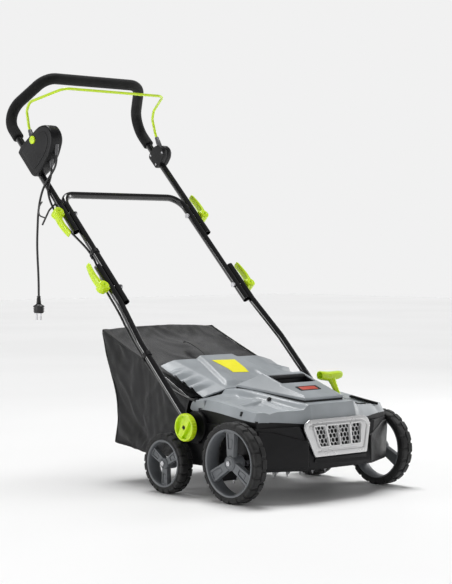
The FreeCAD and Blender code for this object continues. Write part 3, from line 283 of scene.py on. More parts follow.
GREY = moulded("cover_grey", (0.330, 0.355, 0.375), 0.34, grain=0.07)
RIM_GREY = moulded("rim_grey", (0.130, 0.138, 0.148), 0.38, grain=0.06)
BLACK = moulded("housing_black", (0.0065, 0.0065, 0.0075), 0.40, grain=0.16, specular=0.22)
BOX_BLACK = moulded("switch_black", (0.006, 0.006, 0.007), 0.33, grain=0.10, specular=0.30)
LIME_COLOUR = (0.59, 0.82, 0.009)
LIME = moulded("lime_moulded", LIME_COLOUR, 0.30, grain=0.05, coat=0.25, spread=0.05)
LIME_PAINT = enamel("lime_powder_coat", LIME_COLOUR, 0.24)
SILVER = moulded("silver_lacquer", (0.72, 0.72, 0.725), 0.24, grain=0.01, coat=0.5, spread=0.03,
                 metallic=0.55)
GLAND = moulded("gland_grey", (0.10, 0.10, 0.105), 0.35, grain=0.06)
TUBE_BLACK = enamel("tube_enamel", (0.004, 0.004, 0.0045), 0.13)
STEEL = plated("zinc_steel", (0.62, 0.62, 0.64), 0.24)
IRON = plated("core_iron", (0.20, 0.20, 0.21), 0.45)
RUBBER = tyre_rubber()
FOAM = foam_skin()
# The last colour lightens faces that point up: partly the top's open weave, partly painted light from above.
FABRIC = woven_mesh("bag_weave", (0.0095, 0.0095, 0.0105), 0.15, (0.034, 0.034, 0.036))
BINDING = woven_mesh("bag_binding", (0.008, 0.008, 0.008), 0.15)
CABLE = sheath("cable_sheath", (0.0075, 0.0075, 0.008), 0.36)
BELT = sheath("belt_rubber", (0.020, 0.020, 0.020), 0.60)
YELLOW = moulded("label_yellow", (0.93, 0.86, 0.004), 0.42, grain=0.02, spread=0.03)
RED = moulded("label_red", (0.50, 0.06, 0.03), 0.40, grain=0.02, spread=0.08)

# ---- mesh helpers ---------------------------------------------------------------------


def finish_piece(piece, material, body, stands_for=(), bevel=0.0, limit=40.0, segments=2):
    """Gives a piece its material, soft edges, shading and body."""
    piece.data.materials.clear()
    piece.data.materials.append(material)
    piece.data.shade_smooth()
    if bevel:
        edges = piece.modifiers.new("soft_edges", "BEVEL")
        edges.width = bevel * MM
        edges.segments = segments
        edges.limit_method = "ANGLE"
        edges.angle_limit = math.radians(limit)
        edges.use_clamp_overlap = True
        edges.miter_outer = "MITER_ARC"
        piece.modifiers.new("even_normals", "WEIGHTED_NORMAL").keep_sharp = True
    else:
        piece.data.set_sharp_from_angle(angle=math.radians(limit))
    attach(piece, body)
    if stands_for:
        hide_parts(*stands_for)
    return piece


def placed(name, data):
    """A new object in the scene."""
    piece = bpy.data.objects.new(name, data)
    bpy.context.scene.collection.objects.link(piece)
    return piece


def clean(mesh, weld):
    """Welds points closer than a distance and turns the faces outwards."""
    work = bmesh.new()
    work.from_mesh(mesh)
    if weld:
        bmesh.ops.remove_doubles(work, verts=work.verts, dist=weld)
    bmesh.ops.recalc_face_normals(work, faces=work.faces)
    work.to_mesh(mesh)
    work.free()


def mesh_object(name, points, faces, weld=1e-6):
    mesh = bpy.data.meshes.new(name)
    mesh.from_pydata([tuple(point) for point in points], [], faces)
    clean(mesh, weld)
    return placed(name, mesh)


def merged(name, parts):
    """Joins loose meshes into one piece."""
    work = bmesh.new()
    for part in parts:
        work.from_mesh(part.data)
        bpy.data.objects.remove(part)
    mesh = bpy.data.meshes.new(name)
    work.to_mesh(mesh)
    work.free()
    return placed(name, mesh)


def grid_faces(rows, columns, wrap_rows=False, wrap_columns=False):
    faces = []
    for i in range(rows if wrap_rows else rows - 1):
        for j in range(columns if wrap_columns else columns - 1):
            i2, j2 = (i + 1) % rows, (j + 1) % columns
            faces.append((i * columns + j, i * columns + j2, i2 * columns + j2, i2 * columns + j))
    return faces


def grid_rim(rows, columns):
    """The indices round a grid, in order."""
    loop = list(range(columns)) + [i * columns + columns - 1 for i in range(1, rows)]
    loop += [(rows - 1) * columns + j for j in range(columns - 2, -1, -1)]
    return loop + [i * columns for i in range(rows - 2, 0, -1)]


def slab(name, top, under, rows, columns):
    """A closed sheet between two grids of points."""
    count = rows * columns
    faces = grid_faces(rows, columns)
    faces += [tuple(count + k for k in reversed(face)) for face in faces]
    rim = grid_rim(rows, columns)
    faces += [(a, b, count + b, count + a) for a, b in zip(rim, rim[1:] + rim[:1])]
    return mesh_object(name, top + under, faces)


def loft(name, rings, capped=True):
    """A skin over closed rings of equal count."""
    count = len(rings[0])
    points = [point for loop in rings for point in loop]
    faces = grid_faces(len(rings), count, wrap_columns=True)
    if capped:
        faces.append(tuple(range(count)))
        faces.append(tuple(range((len(rings) - 1) * count, len(rings) * count)))
    return mesh_object(name, points, faces)


def ring(centre, first, second, count=48, power=1.0):
    """Points on an ellipse with half axes first and second; a power below 1 squares it."""
    points = []
    for i in range(count):
        angle = 2 * math.pi * i / count
        c, s = (math.copysign(abs(value) ** power, value) for value in (math.cos(angle), math.sin(angle)))
        points.append(centre + first * c + second * s)
    return points


def lathe(name, profile, centre, axis, count=64, capped=True):
    """Turns a profile of (along, radius), in mm, round an axis."""
    side = axis.orthogonal().normalized()
    other = axis.cross(side)
    rings = []
    for along, radius in profile:
        reach = max(radius, 0.01) * MM
        rings.append(ring(centre + axis * (along * MM), side * reach, other * reach, count))
    return loft(name, rings, capped)


def rounded(points, radius, steps=4):
    """A closed outline with its corners rounded; a point may carry its own radius as a third value."""
    result = []
    count = len(points)
    for i, point in enumerate(points):
        corner = Vector(point[:2])
        back = Vector(points[i - 1][:2]) - corner
        ahead = Vector(points[(i + 1) % count][:2]) - corner
        own = point[2] if len(point) > 2 else radius
        reach = min(own, back.length * 0.45, ahead.length * 0.45)
        enter = corner + back.normalized() * reach
        leave = corner + ahead.normalized() * reach
        for step in range(steps + 1):
            share = step / steps
            result.append(enter.lerp(corner, share).lerp(corner.lerp(leave, share), share))
    return result


def disc(radius, x=0, y=0, count=40):
    """A round outline for a plate or its hole."""
    return [(x + radius * math.cos(2 * math.pi * k / count), y + radius * math.sin(2 * math.pi * k / count))
            for k in range(count)]


def box_outline(x0, x1, y0, y1, corner):
    return rounded([(x0, y0), (x1, y0), (x1, y1), (x0, y1)], corner)


def plate(name, outline, holes, thickness, centre, first, second, edge=0.0, lift=0.0, resolution=2):
    """A flat plate with real holes and rolled edges; outlines are (first, second) in mm."""
    curve = bpy.data.curves.new(name, "CURVE")
    curve.dimensions = "2D"
    curve.fill_mode = "BOTH"
    curve.extrude = thickness * MM / 2 - edge * MM
    curve.bevel_depth = edge * MM
    curve.bevel_resolution = resolution
    curve.offset = -edge * MM
    for points in [outline] + holes:
        spline = curve.splines.new("POLY")
        spline.points.add(len(points) - 1)
        for spot, point in zip(spline.points, points):
            spot.co = (point[0] * MM, point[1] * MM, 0, 1)
        spline.use_cyclic_u = True
    holder = placed(name, curve)
    bpy.context.view_layer.update()
    mesh = bpy.data.meshes.new_from_object(holder.evaluated_get(bpy.context.evaluated_depsgraph_get()))
    bpy.data.objects.remove(holder)
    normal = first.cross(second).normalized()
    turn = Matrix((first.normalized(), second.normalized(), normal)).transposed().to_4x4()
    mesh.transform(Matrix.Translation(centre + normal * (lift * MM)) @ turn)
    clean(mesh, 2e-6)
    return placed(name, mesh)


def nurbs(name, points, radius):
    """A smooth round cord whose control points are the route's points; each point holds the radius."""
    curve = bpy.data.curves.new(name, "CURVE")
    curve.dimensions = "3D"
    curve.bevel_depth = 1.0
    curve.bevel_resolution = 6
    curve.resolution_u = 10
    curve.use_fill_caps = True
    spline = curve.splines.new("NURBS")
    spline.points.add(len(points) - 1)
    for spot, point in zip(spline.points, points):
        spot.co = (*point, 1)
        spot.radius = radius * MM
    spline.order_u = 3
    spline.use_endpoint_u = True
    return placed(name, curve)


def centreline(piece):
    """The points of a curve's own smooth line, and its length."""
    depth, caps = piece.data.bevel_depth, piece.data.use_fill_caps
    piece.data.bevel_depth = 0
    piece.data.use_fill_caps = False
    mesh = bpy.data.meshes.new_from_object(piece)
    piece.data.bevel_depth, piece.data.use_fill_caps = depth, caps
    points = [vertex.co.copy() for vertex in mesh.vertices]
    bpy.data.meshes.remove(mesh)
    return points, sum((b - a).length for a, b in zip(points, points[1:]))


def tube_mesh(name, points, radius, count=16):
    """A round tube mesh along points, without twist."""
    rings = []
    side = (points[1] - points[0]).orthogonal().normalized()
    for i, point in enumerate(points):
        heading = (points[min(i + 1, len(points) - 1)] - points[max(i - 1, 0)]).normalized()
        side = (side - heading * side.dot(heading)).normalized()
        rings.append(ring(point, side * (radius * MM), heading.cross(side) * (radius * MM), count))
    return loft(name, rings)


def softened(name, node, material, body, bevel, limit, below=None):
    """A copy of a CAD node with rolled edges, to stand for it; below keeps only what is under a height."""
    mesh = frame["nodes"][node].data.copy()
    work = bmesh.new()
    work.from_mesh(mesh)
    bmesh.ops.remove_doubles(work, verts=work.verts, dist=2e-5)
    bmesh.ops.dissolve_limit(work, angle_limit=math.radians(1.5), verts=work.verts, edges=work.edges)
    if below:
        high = [vertex for vertex in work.verts if vertex.co.z > below * MM]
        bmesh.ops.delete(work, geom=high, context="VERTS")
    work.to_mesh(mesh)
    work.free()
    return finish_piece(merged(name, [placed(node, mesh)]), material, body, [node], bevel, limit)


# ---- camera and cords -----------------------------------------------------------------

VIEW_AZIMUTH = math.radians(-42.34)
VIEW_ELEVATION = math.radians(1.40)
VIEW_DISTANCE = 4.501


def make_camera():
    camera = bpy.data.cameras.new("view")
    camera.lens = 103.4
    camera.sensor_width = 36
    holder = placed("view", camera)
    away = Vector((math.sin(VIEW_AZIMUTH) * math.cos(VIEW_ELEVATION),
                   -math.cos(VIEW_AZIMUTH) * math.cos(VIEW_ELEVATION), math.sin(VIEW_ELEVATION)))
    holder.location = at(0, 318, 508) + away * VIEW_DISTANCE
    holder.rotation_euler = (-away).to_track_quat("-Z", "Y").to_euler()
    bpy.context.scene.camera = holder


make_camera()

CORD_RADIUS = 3.2
LEAD_RADIUS = 3.1
MAINS_ROUTE = [at(*spot) for spot in (
    (-240, 752, 884), (-240, 752, 866), (-243, 758, 846), (-251, 772, 822), (-258, 788, 797),
    (-261, 801, 763), (-262, 809, 724), (-262, 812, 682), (-263, 813, 638), (-261, 813.5, 596),
    (-259, 813, 557), (-257, 814, 521), (-257, 814, 492))]
LEAD_UPPER = [on_handle(*spot) for spot in (
    (-240, 908, 46.6), (-240, 895.2, 33.8), (-247, 880, 17.7), (-255, 862.7, 4.2), (-256, 834, -9),
    (-251, 800, -19), (-246, 762, -21), (-239, 722, -20), (-228, 682, -18), (-220, 650, -17),
    (-219, 628, -17))]
LEAD_MIDDLE = [on_handle(*spot) for spot in (
    (-219, 616, -17), (-220, 596, -17.5), (-227, 562, -19), (-236, 526, -20), (-241, 488, -20),
    (-242, 448, -19), (-245, 404, -18), (-250, 360, -18.5), (-254.5, 314, -18), (-256, 276, -17),
    (-256, 251, -17))]
LEAD_LOWER = [on_handle(-256, 239, -17), on_handle(-256, 221, -17)] + [at(*spot) for spot in (
    (-251, 316, 296), (-243, 292, 276), (-238, 262, 262), (-235, 232, 250), (-226, 207, 240),
    (-226, 188.4, 240))]


def make_plug():
    """A contour plug: ribbed neck, flared collar, moulded body, grip ridges and two round pins."""
    end = MAINS_ROUTE[-1]
    # Each section is (distance below the cord's end, half width, half thickness).
    sections = [(0, 4.3, 4.3), (1, 5.6, 5.6), (2.5, 5.6, 5.6), (3, 4.6, 4.6)]
    for i in range(4):
        drop = 5 + i * 4.2
        wide = 5.0 + i * 0.35
        sections += [(drop, wide, wide), (drop + 0.8, wide + 0.9, wide + 0.9),
                     (drop + 2.2, wide + 0.9, wide + 0.9), (drop + 3, wide + 0.1, wide)]
    sections += [(22.5, 8, 7.5), (25, 12.5, 10), (27, 17.5, 13), (28.5, 19, 14), (30.5, 19, 14),
                 (31.5, 16.8, 12.6), (33, 16.6, 12.4), (46, 16.2, 12), (47.6, 15.4, 11.4), (48, 14, 10)]
    rings = [ring(end - RISE * (drop * MM), BACK * (wide * MM), ACROSS * (thick * MM), 40)
             for drop, wide, thick in sections]
    shell = finish_piece(loft("plug_shell", rings), CABLE, "upper_handle", ["mains_plug"], 0.5)
    flats, pins = [], []
    for hand in (-1, 1):
        for i in range(3):
            spot = end - RISE * ((35.5 + i * 3.6) * MM) + ACROSS * (hand * 12 * MM)
            flats.append(tube_mesh("grip_ridge", [spot - BACK * (9 * MM), spot + BACK * (9 * MM)], 0.9, 10))
        root = end + BACK * (hand * 9.5 * MM)
        pins.append(lathe("pin", [(47, 2.4), (66, 2.4), (66.7, 2.0), (67, 1.2)], root, -RISE, 24))
        pins.append(lathe("collar", [(47.5, 3.4), (49.2, 3.4), (49.6, 3.0)], root, -RISE, 24))
    ridges = finish_piece(merged("plug_ridges", flats), CABLE, "upper_handle", limit=30)
    metal = finish_piece(merged("plug_pins", pins), STEEL, "upper_handle", (), 0.15, 30)
    return [shell, ridges, metal]


def make_cords():
    mains = nurbs("mains_cord_line", MAINS_ROUTE, CORD_RADIUS)
    mains.data.materials.append(CABLE)
    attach(mains, "upper_handle")
    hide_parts("mains_cord")
    _, length = centreline(mains)
    tuple(MAINS_ROUTE[0])
    make_plug()


make_cords()


def make_lead(name, route, node):
    """One stretch of the motor lead, as a mesh tube along its route."""
    line = nurbs(name, route, LEAD_RADIUS)
    points, length = centreline(line)
    bpy.data.objects.remove(line)
    tube = tube_mesh(name, points, LEAD_RADIUS, 18)
    tube.data.materials.append(CABLE)
    tube.data.shade_smooth()
    tube.data.set_sharp_from_angle(angle=math.radians(40))
    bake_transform(tube)
    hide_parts(node)
    tuple(route[0])
    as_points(points)


make_lead("lead_upper_line", LEAD_UPPER, "motor_lead_upper")
make_lead("lead_middle_line", LEAD_MIDDLE, "motor_lead_middle")
make_lead("lead_lower_line", LEAD_LOWER, "motor_lead_lower")

# ---- wheels ---------------------------------------------------------------------------

TREAD_BLOCKS = 20
RIM_DEPTH = 18
FRONT_RADIUS = 100
REAR_RADIUS = 77


def make_tyre(name, radius, centre, outward):
    """A tyre whose tread blocks are staggered between its two halves and reach down the sidewalls."""
    inner = radius - RIM_DEPTH
    half = 19.5
    wall = [(half - 1, inner), (half, inner + 4), (half, radius - 9), (half, radius - 4),
            (half - 3, radius - 0.8), (half - 5, radius), (2.2, radius), (1.6, radius - 2.8)]
    profile = [(-along, reach) for along, reach in wall] + wall[::-1]
    steps = (0.0, 0.03, 0.36, 0.68, 0.72, 0.76, 0.96)
    angles = [(block + step) * math.pi / TREAD_BLOCKS for block in range(TREAD_BLOCKS * 2) for step in steps]
    points = []
    for angle in angles:
        out = BACK * math.cos(angle) + RISE * math.sin(angle)
        for along, reach in profile:
            turn = angle * TREAD_BLOCKS / (2 * math.pi) + (0.5 if along > 0 else 0)
            groove = turn % 1 > 0.76
            x, r = along, reach
            if groove and reach > radius - 5 and abs(along) > 2:
                r = reach - 3.4
            if groove and reach > radius - 10 and abs(along) >= half:
                x = along * 0.93
            points.append(centre + ACROSS * (x * MM) + out * (r * MM))
    faces = grid_faces(len(angles), len(profile), wrap_rows=True, wrap_columns=True)
    band = [(0, radius - 13), (1.1, radius - 13), (1.1, radius - 11.6), (0, radius - 11.4)]
    side = lathe("side_ring", band, centre + ACROSS * (outward * 19.2 * MM), ACROSS * outward, 96, False)
    return merged(name, [mesh_object(name, points, faces), side])


def make_rim(name, radius, centre, outward, spoke_turn):
    """A deep rim with three broad boxed spokes, a recessed panel in each, and a hub cap."""
    outer = radius - RIM_DEPTH
    inner = outer - 5
    axis = ACROSS * outward
    hub = radius * 0.19
    barrel = [(-19, outer), (-19, outer - 3), (-12, inner), (8, inner), (17, inner + 0.6), (19.6, inner + 2),
              (20.4, outer - 1.4), (20.2, outer + 1.2), (18.6, outer + 1.6), (18.6, outer), (-19, outer)]
    root, reach = hub * 0.7, inner + 1.5
    near, far = radius * 0.115, radius * 0.155
    start = hub + (inner - hub) * 0.28
    middle = start + (reach - start) * 0.55

    def tapered(low, low_half, high, high_half, corner):
        return rounded([(low, -low_half), (high, -high_half), (high, high_half), (low, low_half)], corner)
    spoke = tapered(root, near, reach, far, 2)
    window = tapered(start, near * 0.62, reach - 5, far * 0.66, 2.5)
    step = tapered(start + 2, near * 0.4, middle, far * 0.42, 2)
    parts = [lathe("barrel", barrel, centre, axis, 96, False)]
    for i in range(3):
        angle = math.radians(90 + 120 * i + spoke_turn)
        along = BACK * math.cos(angle) + RISE * math.sin(angle)
        across = axis.cross(along)
        parts.append(plate("spoke", spoke, [], 12, centre, along, across, 1.2, 5))
        parts.append(plate("spoke_face", spoke, [window], 3.2, centre, along, across, 0.8, 12))
        parts.append(plate("spoke_step", step, [], 2, centre, along, across, 0.7, 11.4))
    cap = [(-19, hub), (10, hub), (14.5, hub - 0.4), (16.2, hub - 1.6), (16.8, hub - 3), (15.4, hub - 4),
           (15.4, hub - 5.2), (16.6, hub - 6.2), (17.6, hub * 0.4), (17.8, 0.5)]
    parts.append(lathe("hub", cap, centre, axis, 64))
    return merged(name, parts)


def make_wheels():
    for side_name, side in (("left", 1), ("right", -1)):
        for end, radius, turn in (("front", FRONT_RADIUS, 0), ("rear", REAR_RADIUS, 180)):
            low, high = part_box(f"{end}_tyre_{side_name}")
            centre = (low + high) / 2
            body = f"{end}_wheel_{side_name}"
            tyre = make_tyre(f"{end}_tyre_{side_name}_tread", radius, centre, side)
            finish_piece(tyre, RUBBER, body, [f"{end}_tyre_{side_name}"], 0.7, 32)
            rim = make_rim(f"{end}_rim_{side_name}_spokes", radius, centre, side, turn)
            finish_piece(rim, RIM_GREY, body, [f"{end}_rim_{side_name}"], limit=32)


make_wheels()

# ---- cover ----------------------------------------------------------------------------

CREASE_X = 222
FRONT_Y = -77
CORNER_Y = -38
REAR_Y = 182
# The rings of the cover's skirt, outside and then inside: (share of the way down, inset).
SKIRT = ((0.07, 0), (0.5, 0), (0.95, 0), (1.0, 0), (1.0, 3), (0.2, 3))


def cover_half(y):
    """Half width of the cover's upper face at a distance back."""
    if y < CORNER_Y:
        return lerp(78, CREASE_X, (y - FRONT_Y) / (CORNER_Y - FRONT_Y))
    return CREASE_X - 6 * smoothstep(120, REAR_Y, y)


def pocket(x, y, mid_x, mid_y, wide, deep, soft):
    """1 inside a rectangle and 0 outside it, with soft sides."""
    across = smoothstep(wide, wide - soft, abs(x - mid_x))
    along = smoothstep(deep, deep - soft, abs(y - mid_y))
    return across * along


def cover_top(x, y):
    """Height of the cover's upper face."""
    away = abs(x)
    crown = lerp(237, 266, smoothstep(-90, 150, y)) - 3 * smoothstep(142, REAR_Y, y)
    inner = lerp(223, 253, smoothstep(-80, 120, y))
    edge = lerp(221, 243, smoothstep(-60, 150, y)) - 1 * smoothstep(150, REAR_Y, y)
    flank = lerp(inner, edge, smoothstep(100, CREASE_X, away))
    shelf = lerp(80, 124, smoothstep(-77, 150, y))
    level = lerp(crown, flank, smoothstep(shelf, shelf + 17, away))
    level -= 5 * pocket(away, y, 162, -3, 38, 50, 7)
    level -= 4 * pocket(away, y, 164, 95, 40, 34, 12)
    level -= 2.5 * pocket(away, y, 152, 34, 17, 13, 10)
    ridge = smoothstep(196, 204, away) * smoothstep(220, 212, away)
    level += 2.5 * ridge * smoothstep(-30, -10, y) * smoothstep(150, 130, y)
    return level


def skirt_bottom(y):
    """Height of the cover's lower edge along its sides."""
    return lerp(199, 218, smoothstep(-60, 150, y))


def skirt_point(spot, share, inset):
    """A point of the skirt under a point of the upper face's rim."""
    x, y, z = spot.x / MM, (spot.y - AXLE_Y) / MM, spot.z / MM
    out_x, out_y, low, inward_y = x * 1.054, y, skirt_bottom(y), 0
    if y <= CORNER_Y:
        side = smoothstep(CREASE_X * 0.45, CREASE_X, abs(x))
        out_x, out_y = x * lerp(1.04, 1.05, side), y - lerp(10, 9, side)
        low, inward_y = lerp(187, 199, smoothstep(90, 215, abs(x))), inset
    elif y >= REAR_Y - 1:
        out_x, out_y, low = x * 1.03, y + 2, 214
    inward_x = math.copysign(inset, x) if abs(x) > 79 else 0
    return at(lerp(x, out_x, share) - inward_x, lerp(y, out_y, share) + inward_y, lerp(z, low, share))


def make_cover():
    """The grey cover: a shaped upper face and the skirt that hangs from its rim."""
    rows, columns = 105, 121
    points = []
    for i in range(rows):
        y = lerp(FRONT_Y, REAR_Y, i / (rows - 1))
        for j in range(columns):
            x = cover_half(y) * (2 * j / (columns - 1) - 1)
            points.append(at(x, y, cover_top(x, y)))
    rim = grid_rim(rows, columns)
    first = rim.index((rows - 1) * columns)
    rim = rim[first:] + rim[:first]
    start, count = len(points), len(rim)
    for share, inset in SKIRT:
        points += [skirt_point(points[k], share, inset) for k in rim]
    faces = grid_faces(rows, columns)
    for k in range(count):
        following = (k + 1) % count
        faces.append((rim[k], rim[following], start + following, start + k))
        for base in range(start, start + (len(SKIRT) - 1) * count, count):
            faces.append((base + k, base + following, base + count + following, base + count + k))
    finish_piece(mesh_object("cover_shell", points, faces), GREY, "chassis", ["top_cover"], 1.6, 38, 3)


make_cover()


def make_recesses():
    """Black discs for two screw recesses on the cover's top and black plates for a slot in each side: painted
    shade standing for the dark insides of the holes.
    """
    dark = []
    for side in (-1, 1):
        # Painted shade: a black disc on the recess wall and a black plate on the skirt stand for the shade
        # inside the holes.
        spot = at(side * 113, 34, lerp(cover_top(104, 34), cover_top(122, 34), 0.5) + 0.8)
        wall = Vector((side * 0.62, 0, 0.78))
        dark.append(lathe("screw_hole", [(-3, 6.0), (0, 6.0), (0.5, 5.4)], spot, wall, 28))
        edge = at(side * (CREASE_X + 6.3), 12, lerp(cover_top(CREASE_X, 12), skirt_bottom(12), 0.45))
        out = Vector((side, 0, 0.35)).normalized()
        slot = box_outline(-3.2, 3.2, -6, 6, 2)
        dark.append(plate("side_slot", slot, [], 2.4, edge, BACK, out.cross(BACK), 0.3))
    finish_piece(merged("cover_recess_shade", dark), BLACK, "chassis", limit=30)


def make_gate():
    """The depth lever's gate: a ribbed scale, a bar beside it, and a rail round a flat channel."""
    gate = []
    for i in range(14):
        y = -46 + i * 6.6
        gate.append(plate("gate_rib", box_outline(-4, 4, -1.2, 1.2, 0.8), [], 5,
                          at(192, y, cover_top(203, y) + 0.2), ACROSS, BACK, 0.5))
    slope = Vector((0, 1, (cover_top(203, 44) - cover_top(203, -50)) / 94)).normalized()
    gate.append(plate("gate_bar", box_outline(-2.5, 2.5, -51, 45, 2), [], 6,
                      at(197.5, -1, cover_top(203, -2)), ACROSS, slope, 0.8))
    corners = box_outline(129, 151, -54, 53, 7)
    rail = []
    for (x0, y0), (x1, y1) in zip(corners, corners[1:] + corners[:1]):
        pieces = math.ceil(math.hypot(x1 - x0, y1 - y0) / 8)
        for k in range(pieces):
            x, y = lerp(x0, x1, k / pieces), lerp(y0, y1, k / pieces)
            rail.append(at(x, y, cover_top(x, y) + 0.9))
    gate.append(tube_mesh("gate_rail", rail, 1.7, 12))
    channel = []
    for k in range(27):
        y = lerp(-52, 51, k / 26)
        channel.append([at(x, y, cover_top(x, y) + lift)
                        for x, lift in ((131, -2), (149, -2), (149, 0.6), (131, 0.6))])
    gate.append(loft("gate_channel", channel))
    finish_piece(merged("lever_gate", gate), BLACK, "chassis", (), 0.3, 30)


def make_lobes():
    """The rounded lobes at the cover's two rear corners."""
    outline = rounded([(150, 243, 4), (196, 239, 17), (207, 214, 16), (160, 205, 5), (146, 208, 3)], 6, 8)
    lobes = [plate("lobe", outline, [], 15, at(side * 221, 0, 0), BACK, RISE, 3.5, 0, 4) for side in (-1, 1)]
    finish_piece(merged("cover_rear_lobes", lobes), GREY, "chassis")


make_recesses()
make_gate()
make_lobes()


def make_housing():
    """The black lower housing with rolled edges, and the collar that carries the cover."""
    softened("lower_housing_shell", "lower_housing", BLACK, "chassis", 1.4, 25)
    stations = ((98, -86, 190), (231, -46, 202), (231.5, 30, 210), (231.5, 110, 220), (228, 181, 222))
    outside = [(-x, y, z) for x, y, z in reversed(stations)] + list(stations)
    points = []
    for low, inset in ((182, 0), (None, 0), (None, 4), (182, 4)):
        points += [at(x - math.copysign(inset, x), y + (inset if y < 0 else 0), low or z)
                   for x, y, z in outside]
    count = len(outside)
    faces = grid_faces(4, count, wrap_rows=True)
    faces += [tuple(k * count for k in range(4)), tuple(k * count + count - 1 for k in range(4))]
    finish_piece(mesh_object("housing_collar", points, faces), BLACK, "chassis", (), 1.0, 30)


make_housing()


def make_nose():
    """Raised panels on the slanted cheeks, and the lip under the grille."""
    parts = []
    for side in (-1, 1):
        root, tip = at(side * 106, -106, 0), at(side * 233, -46, 0)
        length = (tip - root).length / MM
        outline = [(6, 84, 4), (length - 6, 84, 4), (length - 4, 178, 3), (length - 40, 176, 6), (4, 150, 6)]
        parts.append(plate("cheek_panel", rounded(outline, 4), [], 7, root, (tip - root).normalized(), RISE,
                           1.8, side, 3))
    lip = rounded([(-94, 97, 2), (94, 97, 2), (90, 107, 2), (-90, 107, 2)], 2)
    parts.append(plate("lip", lip, [], 8, at(0, -105.5, 0), ACROSS, RISE, 1.6))
    finish_piece(merged("nose_panels", parts), BLACK, "chassis")


make_nose()


def mirrored_ring(*stations):
    """A ring symmetric from left to right, from its right-hand (half width, y, z) stations."""
    right = [at(x, y, z) for x, y, z in stations]
    left = [at(-x, y, z) for x, y, z in stations]
    return left[:1] + right + left[:0:-1]


def make_lid():
    """The motor lid over a black band that paints the shade in the gap round it, open across its top for the
    carrying bar in its recess, whose black lining paints the shade in the hand space.
    """
    # Painted shade: a black band under the lid's edge stands for the shade in the gap between lid and cover.
    gap_shade_rings = [mirrored_ring((68, -49, 236), (118, 149, 262)), mirrored_ring((68, -49, 244.5), (118, 149, 270))]
    finish_piece(loft("lid_gap_painted_shade", gap_shade_rings), BLACK, "chassis", limit=30)
    rings = [
        mirrored_ring((65, -46, 243), (90, 50, 255.8), (115, 146, 268.5)),
        mirrored_ring((69, -50, 244.5), (94, 50, 257.2), (119, 150, 270)),
        mirrored_ring((69, -50, 250), (94, 50, 262.5), (119, 150, 275)),
        mirrored_ring((66, -46, 252.5), (91, 50, 264.8), (115, 146, 277)),
        mirrored_ring((58, -36, 256), (73, 34, 277.5), (72, 108, 301)),
        mirrored_ring((55, -31, 257), (70, 36, 279.5), (69, 101, 303.5)),
        mirrored_ring((62, 40, 282.5), (63, 65, 291), (64, 90, 300)),
        mirrored_ring((60, 43, 270), (61, 65, 270), (62, 87, 270))]
    finish_piece(loft("lid_shell", rings, capped=False), GREY, "chassis", ["motor_lid"], 1.8, 12, 3)
    # Painted shade: the black lining of the recess stands for the shade in the hand space under the lid's
    # ridge.
    cup = mirrored_ring((61.2, 42, 279), (63.2, 88.4, 296))
    for z in (271, 269):
        cup += mirrored_ring((60, 44.5, z), (61.8, 86.4, z))
    recess_shade = mesh_object("recess_shade", cup, grid_faces(3, 4, wrap_columns=True) + [(8, 9, 10, 11)])
    grip = tube_mesh("grip", [at(-61.5, 84, 292), at(61.5, 84, 292)], 6.5, 20)
    web = plate("web", rounded([(78, 270, 1), (88, 270, 1), (88, 296, 3), (80, 296, 3)], 2), [], 122,
                at(0, 0, 0), BACK, RISE, 0.5)
    finish_piece(merged("carry_cup_with_painted_shade", [recess_shade, grip, web]), BLACK, "chassis", ["carry_handle"])
    slope = (at(0, 98, 302) - at(0, -30, 254)).normalized()
    badge = box_outline(-29, 29, -9, 9, 2.5)
    spot = at(-4, 3, 257 + 46.5 * 34 / 132)
    dark = plate("badge_frame", box_outline(-37, 37, -12, 12, 3), [badge], 1.2, spot, ACROSS, slope, 0.4, 0.7)
    finish_piece(dark, BLACK, "chassis", limit=30)
    red = plate("badge_plain", badge, [], 0.8, spot, ACROSS, slope, 0.25, 0.6)
    finish_piece(red, RED, "chassis", limit=30)


make_lid()

# ---- grille ---------------------------------------------------------------------------

HONEYCOMB_CELL = 7.4


def grown(window, by):
    """A four-cornered outline with its corners moved outwards."""
    mid_x = sum(x for x, _ in window) / 4
    mid_y = sum(y for _, y in window) / 4
    return [(x + math.copysign(by, x - mid_x), y + math.copysign(by, y - mid_y)) for x, y in window]


def hexagon(x, y, reach):
    corners = [math.radians(60 * k) for k in range(6)]
    return [(x + reach * math.sin(corner), y + reach * math.cos(corner)) for corner in corners]


